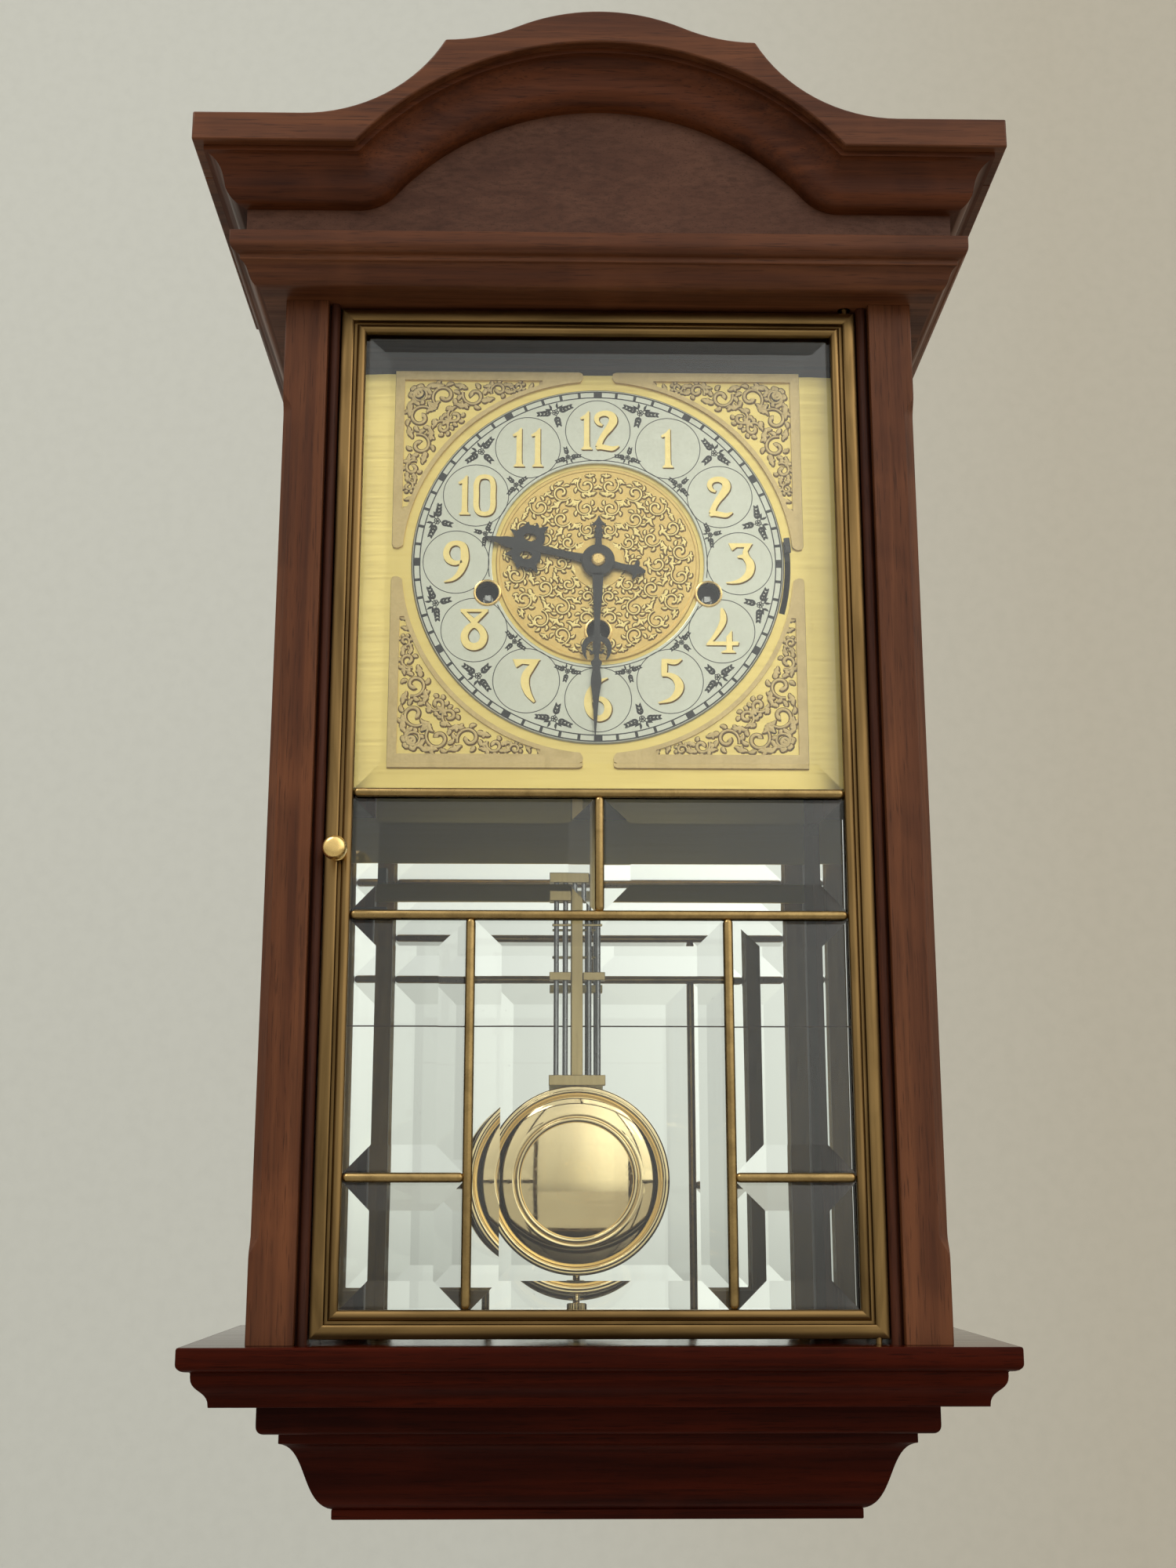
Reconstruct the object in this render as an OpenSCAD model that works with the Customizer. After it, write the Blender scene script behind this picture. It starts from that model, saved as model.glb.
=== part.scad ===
// Pendulum wall clock: wooden arch-top case, brass lattice door with bevelled panes,
// mirrored back, gilt dial, key-wound chime movement and a gridiron-pattern pendulum.
// Every module is drawn with X = 0 on the centre line, Y = 0 on the front of the stiles
// (+Y towards the wall) and Z = 0 on top of the base ledge. in_frame() then moves it so
// that the origin is the hanger hole on the wall plane. Sizes are millimetres.

/* [Case] */
// Width across the two case sides
case_w = 252.4; // [248:0.2:258]
// Height between the base ledge and the cornice soffit
case_h = 405; // [404.5:0.1:412]
// Depth from the front of the stiles to the wall
case_d = 127; // [126:0.5:140]
// Thickness of the case sides
side_t = 12; // [9:0.5:13]
// Width of each front stile
stile_w = 17.1; // [16:0.1:17.5]
// Depth of each front stile
stile_d = 16; // [12:0.5:24]
// Leg of the stopped chamfer on each stile
chamfer = 3.8; // [1:0.1:6]
// Thickness of the back panel
back_t = 14.6; // [8:0.1:14.6]
// Thickness of the mirror plates
mirror_t = 4; // [3:0.5:5]
// Height of the seam between the two mirror plates
mirror_seam = 123.5; // [110:0.5:135]

/* [Base] */
// Front overhang of the base ledge
ledge_front = 8.2; // [6:0.1:12]
// Side overhang of the base ledge
ledge_side = 22.7; // [18:0.1:26]
// Thickness of the moulded base board
ledge_t = 21; // [21:0.5:24]
// Height of the base moulding under the board
base_h = 39.6; // [38:0.1:44]
// Thickness of the plinth board at the bottom
plinth_t = 3.8; // [3:0.1:6]

/* [Cornice] */
// Thickness of the moulded cornice board
cornice_t = 19.8; // [19:0.1:22]
// Overhang of the frieze box, front and sides
frieze_out = 14.6; // [13:0.1:16]
// Height of the frieze box
frieze_h = 30.9; // [30:0.1:36]
// Overhang of the pediment board, front and sides
board_out = 34.2; // [33:0.1:38]
// Thickness of the pediment board at its flat ends
board_t = 12.2; // [10:0.1:16]
// Radius of the arch under the pediment board
arch_r = 125.7; // [120:0.1:135]
// Half the span of that arch
arch_half = 96.3; // [90:0.1:100]
// Height of the pediment peak above the flat ends
peak_h = 46.7; // [44:0.1:50]

/* [Door] */
// Width of the brass door
door_w = 208.4; // [206:0.1:208.4]
// Gap under the door
door_low = 1.9; // [1:0.1:3]
// Gap over the door
door_top_gap = 1.4; // [1:0.1:3]
// Door front behind the stile front
door_y = 4; // [3:0.1:5]
// Depth of the door frame
door_t = 7; // [6.5:0.1:7.2]
// Width of the frame's flat outer strip
strip_w = 5.2; // [4.5:0.1:6]
// Radius of the frame's round inner tube
tube_r = 1.95; // [1.5:0.05:2.2]
// Width of the whole frame member
rail_w = 10.2; // [9.8:0.1:11]
// Radius of the lattice bars
bar_r = 1.8; // [1.4:0.1:2.2]
// Height of the upper cross bar
bar_high = 202.8; // [190:0.1:207]
// Height of the lower cross bar
bar_mid = 155.6; // [145:0.1:165]
// Height of the two short side bars
bar_low = 58.6; // [45:0.1:75]
// Offset of the two lower uprights
bar_x = 48.5; // [40:0.1:55]
// Thickness of the panes
pane_t = 3.2; // [2.8:0.1:3.4]
// Knob radius
knob_r = 4.6; // [4:0.1:6]

/* [Dial] */
// Height of the dial centre
dial_z = 302.2; // [300:0.1:304]
// Dial plate front behind the stile front
dial_y = 26; // [25:0.5:26]
// Width of the dial plate
dial_w = 206; // [190:1:220]
// Outer radius of the chapter ring
ring_r = 75.5; // [74:0.1:76]
// Inner radius of the chapter ring
ring_in = 43; // [42:0.1:44]
// Half the square that the spandrels fill
spandrel_half = 83.5; // [82:0.1:84]
// Length of the minute hand
minute_len = 74; // [60:1:75]
// Length of the hour hand
hour_len = 47; // [40:1:55]
// Clockwise angle of the minute hand from 12
minute_deg = 181; // [0:1:359]
// Clockwise angle of the hour hand from 12
hour_deg = 282.6; // [0:0.1:359]
// Offset of the two side winding holes
wind_x = 44.6; // [44:0.1:46]
// Drop of the side winding holes below the centre
wind_dz = 13; // [12:0.1:14]
// Drop of the centre winding hole below the centre
wind_mid_dz = 29; // [28.5:0.1:30]

/* [Pendulum] */
// Offset of the pendulum from the centre line
pend_x = -7.5; // [-9:0.1:-6]
// Pendulum plane behind the stile front
pend_y = 86; // [85.5:0.1:86.5]
// Height of the point the pendulum swings about
pend_z = 345; // [344:0.5:346]
// Height of the bob centre
bob_z = 59.1; // [58:0.1:62]
// Radius of the bob
bob_r = 37.8; // [35:0.1:40]
// Height of the underside of the gridiron's top block
grid_top = 181.5; // [176:0.5:230]

/* [Hidden] */
$fn = 48;
far = 400;              // longer than any part, for through cuts and extrusions
wood = "#6b3a26";
brass = "#a8894f";

// Origin of the finished part: the hanger hole, this high above the ledge
hang_z = 385;

half_w = case_w / 2;
frieze_z = case_h + cornice_t;
board_z = frieze_z + frieze_h;
panel_back = -6;        // back face of the pediment board and of the frieze panel
crown_h = 19.1;         // height of the crown moulding under the pediment board
arch_z = board_z - sqrt(arch_r * arch_r - arch_half * arch_half);
arch_turn = atan2(arch_half, board_z - arch_z);  // half the arch's sweep
board_half = half_w + board_out;

mirror_y = case_d - back_t - mirror_t;
mirror_half = half_w - side_t - 0.5;
mirror_top = 240;

door_half = door_w / 2;
door_top = case_h - door_top_gap;
light_half = door_half - rail_w;     // clear glass opening
light_low = door_low + rail_w;
light_top = door_top - rail_w;
lip = 1.5;                           // glass held behind the frame's inner edge
pane_y = door_y + 2.4;               // front face of the panes
web = 0.8;                           // lattice web between two panes
pivot_x = door_half - 4;
pivot_y = door_y + 1.5;
pin_r = 1.2;
run = 0.06;                          // radial clearance of every turning fit

dial_t = 1.5;
plate_w = 136;                       // movement plates
plate_low = 242;
plate_top = 357;
plate_t = 2;
front_y = 34;
rear_y = 76;
arbor_r = 2;                         // centre arbor
wind_r = 3;                          // winding arbors
hole_r = 4.5;                        // inside of the winding grommets
grommet_r = 5.65;
slot_r = 77;                         // chime lever slot
slot_w = 2.4;
slot_up = 7.5;                       // slot ends, degrees above and below 3 o'clock
slot_down = 15.7;
escape_z = 319;
escape_r = 15;

wind_holes = [[-wind_x, -wind_dz], [0, -wind_mid_dz], [wind_x, -wind_dz]];

// Points of a cubic curve from p to s, pulled towards q and r
function curve(p, q, r, s, n = 8) = [for (i = [0:n]) let (t = i / n, u = 1 - t)
    u * u * u * p + 3 * u * u * t * q + 3 * u * t * t * r + t * t * t * s];

// Points of an arc from p to q; it bulges to the left of p -> q when r is positive
function arc(p, q, r, n = 10) =
    let (d = q - p, turn = sign(r), size = abs(r))
    let (c = (p + q) / 2 + turn * sqrt(size * size - d * d / 4) * [d.y, -d.x] / norm(d))
    let (a = atan2(p.y - c.y, p.x - c.x), sweep = 2 * asin(norm(d) / 2 / size))
    [for (i = [0:n]) c + size * [cos(a - turn * sweep * i / n), sin(a - turn * sweep * i / n)]];

module in_frame() translate([0, -case_d, -hang_z]) children();
module both_sides() { children(); mirror([1, 0, 0]) children(); }
// Box from its lowest corner to its highest corner
module box(low, high) translate(low) cube(high - low);
// Outline in the X-Z plane, from depth y back by t
module slab(y, t) translate([0, y + t, 0]) rotate([90, 0, 0]) linear_extrude(t) children();
// Round bar along Y from y0 to y1
module bar_y(x, z, r, y0, y1) translate([x, y0, z]) rotate([-90, 0, 0]) cylinder(r = r, h = y1 - y0);
module bar_x_way(y, z, r, x0, x1) translate([x0, y, z]) rotate([0, 90, 0]) cylinder(r = r, h = x1 - x0);
module bar_z(x, y, r, z0, z1) translate([x, y, z0]) cylinder(r = r, h = z1 - z0);

// Solid whose front and two ends follow a list of [overhang, height], flat at the wall.
// The ends stand out by extra more than the front does.
module moulded(profile, extra = 0) {
    last = len(profile) - 1;
    intersection() {
        rotate([90, 0, 90]) linear_extrude(2 * far, center = true)
            polygon(concat([for (p = profile) [-p.x, p.y]],
                [[case_d, profile[last].y], [case_d, profile[0].y]]));
        rotate([90, 0, 0]) linear_extrude(2 * far, center = true)
            polygon(concat([for (p = profile) [half_w + extra + p.x, p.y]],
                [for (i = [last:-1:0]) [-half_w - extra - profile[i].x, profile[i].y]]));
    }
}

// ---- base ----
extra_side = ledge_side - ledge_front;
nosing_in = 25.1;       // the lower mouldings step in this far under the ledge
plinth_in = 50.3;
base_z = -ledge_t;
base_low = base_z - base_h;
function inset(points) = [for (p = points) [ledge_front - p.x, p.y]];

module base_board() color(wood) in_frame() difference() {
    moulded(inset(concat([[0, 0]], curve([0, -5.6], [0, -7.5], [2, -8.5], [4.1, -8.5], 5),
        [[4.6, -8.7]], curve([4.6, -10.2], [4.6, -15.5], [10.2, -15], [10.2, -20.5]),
        [[10.2, base_z]])), extra_side);
    bar_z(pivot_x, pivot_y, pin_r + 1.4, -5, 1);
}

module base_moulding() color(wood) in_frame() difference() {
    moulded(inset(concat([[nosing_in, base_z]],
        curve([nosing_in, -28.5], [nosing_in, -31], [26.4, -32], [28.6, -32], 4),
        [[32.4, -32.3]], curve([32.4, -35.6], [42, -37.5], [40, -57.5], [plinth_in, base_low], 12))),
        extra_side);
    box([-half_w - ledge_side + 62, 62 - ledge_front, base_low - 1],
        [half_w + ledge_side - 62, case_d + 1, 0]);
}

module plinth_board() color(wood) in_frame()
    box([-half_w - ledge_side + plinth_in, plinth_in - ledge_front, base_low - plinth_t],
        [half_w + ledge_side - plinth_in, case_d, base_low]);

// ---- case ----
module side(x) box([x, stile_d, 0], [x + side_t, case_d, case_h]);
module side_left() color(wood) in_frame() side(-half_w);
module side_right() color(wood) in_frame() side(half_w - side_t);

module stile() difference() {
    box([half_w - stile_w, 0, 0], [half_w, stile_d, case_h]);
    translate([half_w, 0, 30]) linear_extrude(336)
        polygon([[1, -1 - chamfer], [1, chamfer + 1], [-1 - chamfer, -1]]);
}
module stile_left() color(wood) in_frame() mirror([1, 0, 0]) stile();
module stile_right() color(wood) in_frame() stile();

module bead_strips() color("#3a2318") in_frame() both_sides()
    box([door_half + 0.5, 2.5, 0], [half_w - stile_w, stile_d, case_h]);

hanger_w = 56;
hanger_h = 26;
hanger_t = 2.5;
module back_panel() color(wood) in_frame() difference() {
    box([-half_w + side_t, case_d - back_t, 0], [half_w - side_t, case_d, case_h]);
    box([-hanger_w / 2, case_d - hanger_t, hang_z - hanger_h / 2],
        [hanger_w / 2, case_d + 1, hang_z + hanger_h / 2]);
    bar_y(0, hang_z, 9, case_d - 10, case_d);
}

module hanger_plate() color(brass) in_frame() difference() {
    box([-hanger_w / 2, case_d - hanger_t, hang_z - hanger_h / 2],
        [hanger_w / 2, case_d, hang_z + hanger_h / 2]);
    bar_y(0, hang_z, hole_r, case_d - 5, case_d + 1);
}

module mirror_plate(z0, z1) box([-mirror_half, mirror_y, z0], [mirror_half, mirror_y + mirror_t, z1]);
module mirror_upper() color("#cfd6d8") in_frame() mirror_plate(mirror_seam + 0.3, mirror_top);
module mirror_lower() color("#cfd6d8") in_frame() mirror_plate(2, mirror_seam - 0.3);

// ---- cornice ----
module cornice_board() color(wood) in_frame() difference() {
    moulded(concat(curve([9, case_h], [14.5, case_h + 0.5], [12.5, case_h + 8], [16.5, case_h + 9]),
        [[16.5, case_h + 10.6]],
        curve([17, case_h + 11], [19.6, case_h + 11.6], [20.3, case_h + 13.5], [20.3, case_h + 15.8], 5),
        [[20.3, frieze_z]]));
    bar_z(pivot_x, pivot_y, pin_r + 1.4, case_h - 1, case_h + 5);
}

// Crown profile as [overhang, height above its own lower edge]
crown = concat(curve([frieze_out, 0], [19.6, 0.2], [22.4, 3], [22.8, 7.5], 6),
    curve([23.1, 9], [23.8, 13.2], [26, 16.4], [30.1, 17], 6), [[30.1, crown_h]]);

// A list of [radius, overhang] points turned about an axis along Y
module crown_turn(sections, from, sweep) rotate([90, 0, 0]) rotate([0, 0, from])
    rotate_extrude(angle = sweep) polygon(sections);

// Five pieces: two mitred end returns, two turned corner pieces and the arch between them
joint = 0.02;           // glue line between neighbouring pieces
module crown_moulding() color(wood) in_frame() {
    low = board_z - crown_h;
    difference() {
        moulded([for (p = crown) [p.x, low + p.y]]);
        box([-half_w - frieze_out, -frieze_out, low - 1], [half_w + frieze_out, case_d + 1, board_z + 1]);
        box([-arch_half - joint, -far, low - 1], [arch_half + joint, 0, board_z + 1]);
    }
    translate([0, 0, arch_z]) crown_turn(
        concat([for (p = crown) [arch_r - crown_h + p.y, p.x]], [[arch_r, frieze_out]]),
        90 - arch_turn + joint, 2 * arch_turn - 2 * joint);
    both_sides() translate([arch_half, 0, board_z]) crown_turn(
        concat([for (p = crown) [crown_h - p.y, p.x]], [[0, frieze_out]]),
        270 - arch_turn, arch_turn);
}

module frieze_panel() color(wood) in_frame() slab(-frieze_out, frieze_out + panel_back) {
    translate([-half_w - frieze_out, frieze_z]) square([case_w + 2 * frieze_out, frieze_h]);
    intersection() {
        translate([0, arch_z]) circle(r = arch_r, $fn = 96);
        translate([-arch_half, board_z - 1]) square([2 * arch_half, arch_r]);
    }
}

module frieze_box() color(wood) in_frame() difference() {
    box([-half_w - frieze_out, panel_back, frieze_z], [half_w + frieze_out, case_d, board_z]);
    box([-half_w - frieze_out + 9, panel_back - 1, frieze_z - 1],
        [half_w + frieze_out - 9, case_d - 14, board_z + 1]);
}

// Pediment outline: flat ends, two hollow sweeps up to a cusp, a domed peak, arched below
module pediment_board() color(wood) in_frame() slab(-board_out, board_out + panel_back) {
    end_z = board_z + board_t;
    shoulder = [117.8, end_z];
    cusp = [61.7, end_z + 33.3];
    turn = [32.9, end_z + peak_h - 7.1];
    flip = [[-1, 0], [0, 1]];
    difference() {
        polygon(concat([[-board_half, board_z], [-board_half, end_z]],
            arc(flip * shoulder, flip * cusp, -63.8), arc(flip * cusp, flip * turn, -69.9, 5),
            arc(flip * turn, turn, 79.9, 12), arc(turn, cusp, -69.9, 5), arc(cusp, shoulder, -63.8),
            [[board_half, end_z], [board_half, board_z]]));
        translate([0, arch_z]) circle(r = arch_r, $fn = 96);
    }
}

module top_board() color(wood) in_frame()
    box([-board_half, panel_back, board_z], [board_half, case_d, board_z + board_t]);

// ---- case fittings ----
seat_t = 12;
module seat_board() color("#8a6a45") in_frame() {
    box([-half_w + side_t, 32, plate_low - seat_t], [half_w - side_t, 80, plate_low]);
    both_sides() box([-half_w + side_t, 34, plate_low - seat_t - 8],
        [-half_w + side_t + 10, 66, plate_low - seat_t]);
}

module door_bushes() color(brass) in_frame() for (z = [-5, case_h]) difference() {
    bar_z(pivot_x, pivot_y, pin_r + 1.4, z, z + 5);
    bar_z(pivot_x, pivot_y, pin_r + run, z - 1, z + 6);
}

// Magnet on an arm from the left side, reaching the back of the door frame's free edge
module door_catch() color("#555555") in_frame() {
    box([-half_w + side_t, stile_d, 196], [-door_half + 6, stile_d + 6, 208]);
    box([-door_half, door_y + door_t + 0.4, 196], [-door_half + 6, stile_d + 1, 208]);
}

rod_low = 252;
rod_gap = 9;
rod_y = 102;
module chime_rods() color("#b8b8b8") in_frame() for (i = [0:4])
    bar_x_way(rod_y, rod_low + rod_gap * i, 1.5, -98, 97 - 9 * i);

module chime_block() color("#333333") in_frame()
    box([-112, rod_y - 5, rod_low - 6], [-98, case_d - back_t, rod_low + 4 * rod_gap + 6]);

hammer_x = -62;
hammer_y = 87;
module hammer_bracket() color(brass) in_frame() {
    box([hammer_x - 4, rear_y + plate_t, 244], [hammer_x + 4, rear_y + plate_t + 2, 298]);
    for (z = [244, 295]) difference() {
        box([hammer_x - 4, rear_y + plate_t + 2, z], [hammer_x + 4, hammer_y + 4, z + 3]);
        bar_z(hammer_x, hammer_y, 1.5 + run, z - 1, z + 4);
    }
}

module chime_hammers() color(brass) in_frame() {
    bar_z(hammer_x, hammer_y, 1.5, 243, 299);
    for (i = [0:4]) let (z = rod_low + rod_gap * i) {
        box([hammer_x - 24, hammer_y - 1, z - 1], [hammer_x, hammer_y + 1, z + 1]);
        bar_y(hammer_x - 23, z, 3, hammer_y, rod_y - 3);
    }
}

// ---- dial ----
module wind_holes_cut(r) for (h = wind_holes) bar_y(h.x, dial_z + h.y, r, 0, 60);

module dial_plate() color("#c9a24e") in_frame() {
    difference() {
        box([-dial_w / 2, dial_y, dial_z - 93], [dial_w / 2, dial_y + dial_t, dial_z + 82.5]);
        wind_holes_cut(grommet_r);
        bar_y(0, dial_z, hole_r, 0, 60);
        translate([0, dial_y + 2, dial_z]) rotate([90, 0, 0]) rotate([0, 0, -slot_down])
            rotate_extrude(angle = slot_up + slot_down)
            translate([slot_r - slot_w / 2, -1]) square([slot_w, 4]);
    }
    for (x = [-58, 58], z = [-48, 48]) bar_y(x, dial_z + z, 2.5, dial_y + dial_t, front_y);
}

module chapter_ring() color("#c8c8c4") in_frame() difference() {
    bar_y(0, dial_z, ring_r, dial_y - 1.4, dial_y);
    bar_y(0, dial_z, ring_in, 0, 60);
    wind_holes_cut(grommet_r);
}

module centre_disc() color("#c9a24e") in_frame() difference() {
    bar_y(0, dial_z, 41.3, dial_y - 1.2, dial_y);
    bar_y(0, dial_z, hole_r, 0, 60);
    wind_holes_cut(grommet_r);
}

// Four corner ornaments: a square's corners outside the ring, parted on the centre lines
module dial_spandrels() color("#a07a3c") in_frame() slab(dial_y - 1.2, 1.2)
    translate([0, dial_z]) difference() {
        square(2 * spandrel_half, center = true);
        circle(r = slot_r + 2.5, $fn = 96);
        square([12, far], center = true);
        square([far, 12], center = true);
    }

module winding_grommets() color(brass) in_frame() for (h = wind_holes) difference() {
    bar_y(h.x, dial_z + h.y, grommet_r, dial_y - 2.1, dial_y + dial_t);
    bar_y(h.x, dial_z + h.y, hole_r, 0, 60);
}

// ---- movement ----
module plate(y) difference() {
    box([-plate_w / 2, y, plate_low], [plate_w / 2, y + plate_t, plate_top]);
    for (h = wind_holes) bar_y(h.x, dial_z + h.y, wind_r + run, y - 1, y + plate_t + 1);
    bar_y(0, dial_z, arbor_r + run, y - 1, y + plate_t + 1);
    bar_y(pend_x, escape_z, 1 + run, y - 1, y + plate_t + 1);
    bar_y(pend_x, pend_z, 1.2 + run, y - 1, y + plate_t + 1);
}
module front_plate() color(brass) in_frame() plate(front_y);
module back_plate() color(brass) in_frame() plate(rear_y);

module plate_pillars() color(brass) in_frame() for (x = [-62, 62], z = [plate_low + 7, plate_top - 7])
    bar_y(x, z, 4, front_y + plate_t, rear_y);

module suspension_post() color(brass) in_frame()
    box([pend_x - 7, rear_y + plate_t, pend_z + 4.4], [pend_x + 7, pend_y + 5, pend_z + 11]);

// Spring barrel with its winding arbor; the arbor's front end is square for the key
module barrel(h) color(brass) in_frame() translate([h.x, 0, dial_z + h.y]) {
    bar_y(0, 0, 21.5, 45.5, 62);
    bar_y(0, 0, 22.8, 44, 45.5);
    bar_y(0, 0, wind_r, 33, 80);
    box([-2.1, 29, -2.1], [2.1, 33, 2.1]);
}
module time_barrel() barrel(wind_holes[1]);
module strike_barrel() barrel(wind_holes[0]);
module chime_barrel() barrel(wind_holes[2]);

module escape_wheel() color(brass) in_frame() {
    bar_y(pend_x, escape_z, escape_r, 65.5, 67);
    bar_y(pend_x, escape_z, 1, front_y + 0.3, rear_y + 1.7);
}

// Anchor over the escape wheel, its arbor, and the crutch whose fork drives the pendulum
module pallet_anchor() color("#9a9a9a") in_frame() {
    slab(64.5, 3.5) translate([pend_x, escape_z]) difference() {
        union() {
            translate([0, pend_z - escape_z]) circle(r = 4);
            polygon([[-3, pend_z - escape_z + 3], [3, pend_z - escape_z + 3], [21, 9], [17, 4],
                [0, pend_z - escape_z - 3], [-17, 4], [-21, 9]]);
        }
        circle(r = escape_r + 2.4);
    }
    bar_y(pend_x, pend_z, 1.2, front_y + 0.3, 82);
    box([pend_x - 1.5, 79.5, 310], [pend_x + 1.5, 81, pend_z + 2]);
    box([pend_x - 5, 79.5, 309], [pend_x + 5, 81, 313]);
    for (x = [-3.4, 3.4]) bar_y(pend_x + x, 311, 0.6, 81, pend_y + 2.5);
}

// ---- hands ----
module hand(y, t, hub, bore, deg, outline) color("#151515") in_frame()
    translate([0, y, dial_z]) rotate([0, deg, 0]) difference() {
        union() {
            slab(0, t) polygon(outline);
            bar_y(0, 0, hub, 0, t);
        }
        bar_y(0, 0, bore, -1, t + 1);
    }

module minute_hand() hand(dial_y - 5.2, 0.8, 6.7, arbor_r, minute_deg,
    [[-2.5, 0], [-3.2, minute_len * 0.35], [-1.6, minute_len * 0.7], [0, minute_len],
    [1.6, minute_len * 0.7], [3.2, minute_len * 0.35], [2.5, 0], [5, -13], [0, -19], [-5, -13]]);

module hour_hand() hand(dial_y - 3.4, 0.8, 6.7, 3.6, hour_deg,
    [[-3, 0], [-5, hour_len * 0.45], [-2, hour_len * 0.7], [0, hour_len], [2, hour_len * 0.7],
    [5, hour_len * 0.45], [3, 0], [4, -12], [0, -15], [-4, -12]]);

module hand_nut() color(brass) in_frame() difference() {
    bar_y(0, dial_z, 2.85, dial_y - 6.6, dial_y - 5.2);
    bar_y(0, dial_z, arbor_r, 0, 60);
}

module centre_arbor() color("#9a9a9a") in_frame() {
    bar_y(0, dial_z, arbor_r, dial_y - 6.9, rear_y + 1.7);
    bar_y(0, dial_z, 16, 39, 40.5);
}

module hour_wheel() color(brass) in_frame() difference() {
    union() {
        bar_y(0, dial_z, 3.6, dial_y - 3.8, 32);
        bar_y(0, dial_z, 14, 30.6, 31.8);
    }
    bar_y(0, dial_z, arbor_r + run, 0, 60);
}

// Sliding shoe behind the dial, a stem through the slot and the finger tab in front
lever_deg = slot_up - 2;
module lever_arc(r0, r1, from, sweep, y0, y1) translate([0, y1, dial_z]) rotate([90, 0, 0])
    rotate([0, 0, from]) rotate_extrude(angle = sweep) translate([r0, 0]) square([r1 - r0, y1 - y0]);
module chime_lever() color("#202020") in_frame() {
    lever_arc(slot_r - 3.5, slot_r + 3.5, lever_deg - 4, 8, 27.9, 29.2);
    lever_arc(slot_r - 0.8, slot_r + 0.8, lever_deg - 1.2, 2.4, dial_y - 3, 28.4);
    lever_arc(slot_r - 1, slot_r + 4.5, lever_deg - 1.2, 2.4, dial_y - 3.4, dial_y - 2.4);
}

// ---- door ----
// Rectangular ring in the X-Z plane between an outer and an inner inset from the door edge
module door_ring(outer, inner) difference() {
    translate([-door_half + outer, door_low + outer])
        square([door_w - 2 * outer, door_top - door_low - 2 * outer]);
    translate([-door_half + inner, door_low + inner])
        square([door_w - 2 * inner, door_top - door_low - 2 * inner]);
}

module door_frame() color(brass) in_frame() difference() {
    tube = rail_w - tube_r;
    union() {
        slab(door_y, door_t) door_ring(0, strip_w);
        slab(door_y + 2, door_t - 2) door_ring(strip_w, rail_w);
        for (x = [-door_half + tube, door_half - tube])
            bar_z(x, door_y + tube_r, tube_r, door_low + tube, door_top - tube);
        for (z = [door_low + tube, door_top - tube])
            bar_x_way(door_y + tube_r, z, tube_r, -door_half + tube, door_half - tube);
        for (x = [-door_half + tube, door_half - tube], z = [door_low + tube, door_top - tube])
            translate([x, door_y + tube_r, z]) sphere(r = tube_r);
    }
    box([-light_half - lip, pane_y, light_low - lip], [light_half + lip, door_y + door_t + 1, light_top + lip]);
    bar_z(pivot_x, pivot_y, pin_r, door_low - 1, door_low + 8);
    bar_z(pivot_x, pivot_y, pin_r, door_top - 8, door_top + 1);
    bar_y(-door_half + 5.2, knob_z, 1.5, 0, door_y + 5);
}

// Lattice bar: half-round faces front and back joined by a web between the panes
module came_x(z, x0, x1) {
    intersection() {
        bar_x_way(pane_y, z, bar_r, x0, x1);
        box([x0, 0, z - bar_r], [x1, pane_y, z + bar_r]);
    }
    intersection() {
        bar_x_way(pane_y + pane_t, z, bar_r, x0, x1);
        box([x0, pane_y + pane_t, z - bar_r], [x1, pane_y + far, z + bar_r]);
    }
    box([x0, pane_y, z - web / 2], [x1, pane_y + pane_t, z + web / 2]);
}
module came_z(x, z0, z1) rotate([0, -90, 0]) came_x(-x, z0, z1);

module door_bars() color(brass) in_frame() {
    came_x(bar_high, -light_half, light_half);
    came_x(bar_mid, -light_half, light_half);
    came_z(0, bar_mid, bar_high);
    for (x = [-bar_x, bar_x]) came_z(x, light_low, bar_mid);
    came_x(bar_low, -light_half, -bar_x);
    came_x(bar_low, bar_x, light_half);
}

module pane(x0, x1, z0, z1) box([x0, pane_y, z0], [x1, pane_y + pane_t, z1]);
gap = web / 2;
edge = light_half + lip;
module pane_top() color("#dfe8ea", 0.4) in_frame() pane(-edge, edge, bar_high + gap, light_top + lip);
module pane_centre() color("#dfe8ea", 0.4) in_frame()
    pane(-bar_x + gap, bar_x - gap, light_low - lip, bar_mid - gap);
module panes_middle() color("#dfe8ea", 0.4) in_frame() both_sides()
    pane(gap, edge, bar_mid + gap, bar_high - gap);
module panes_side() color("#dfe8ea", 0.4) in_frame() both_sides() {
    pane(bar_x + gap, edge, bar_low + gap, bar_mid - gap);
    pane(bar_x + gap, edge, light_low - lip, bar_low - gap);
}

knob_z = 178.7;
module door_knob() color(brass) in_frame() translate([-door_half + 5.2, 0, knob_z]) {
    bar_y(0, 0, 1.5, door_y, door_y + 5);
    bar_y(0, 0, 2.2, -3, door_y);
    translate([0, -5.4, 0]) sphere(r = knob_r);
}

module pivot_pins() color(brass) in_frame() {
    bar_z(pivot_x, pivot_y, pin_r, -4.5, door_low + 8);
    bar_z(pivot_x, pivot_y, pin_r, door_top - 8, case_h + 4.5);
}

// ---- pendulum ----
strip_half = 2.35;
module suspension_spring() color(brass) in_frame() {
    box([pend_x - 0.15, pend_y - 3, pend_z - 11], [pend_x + 0.15, pend_y + 3, pend_z + 4]);
    box([pend_x - 2, pend_y - 3.5, pend_z - 17], [pend_x + 2, pend_y + 3.5, pend_z - 11]);
}

module pendulum_strip() color(brass) in_frame()
    box([pend_x - strip_half, pend_y - 0.6, 101.2], [pend_x + strip_half, pend_y + 0.6, pend_z - 17]);

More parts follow.
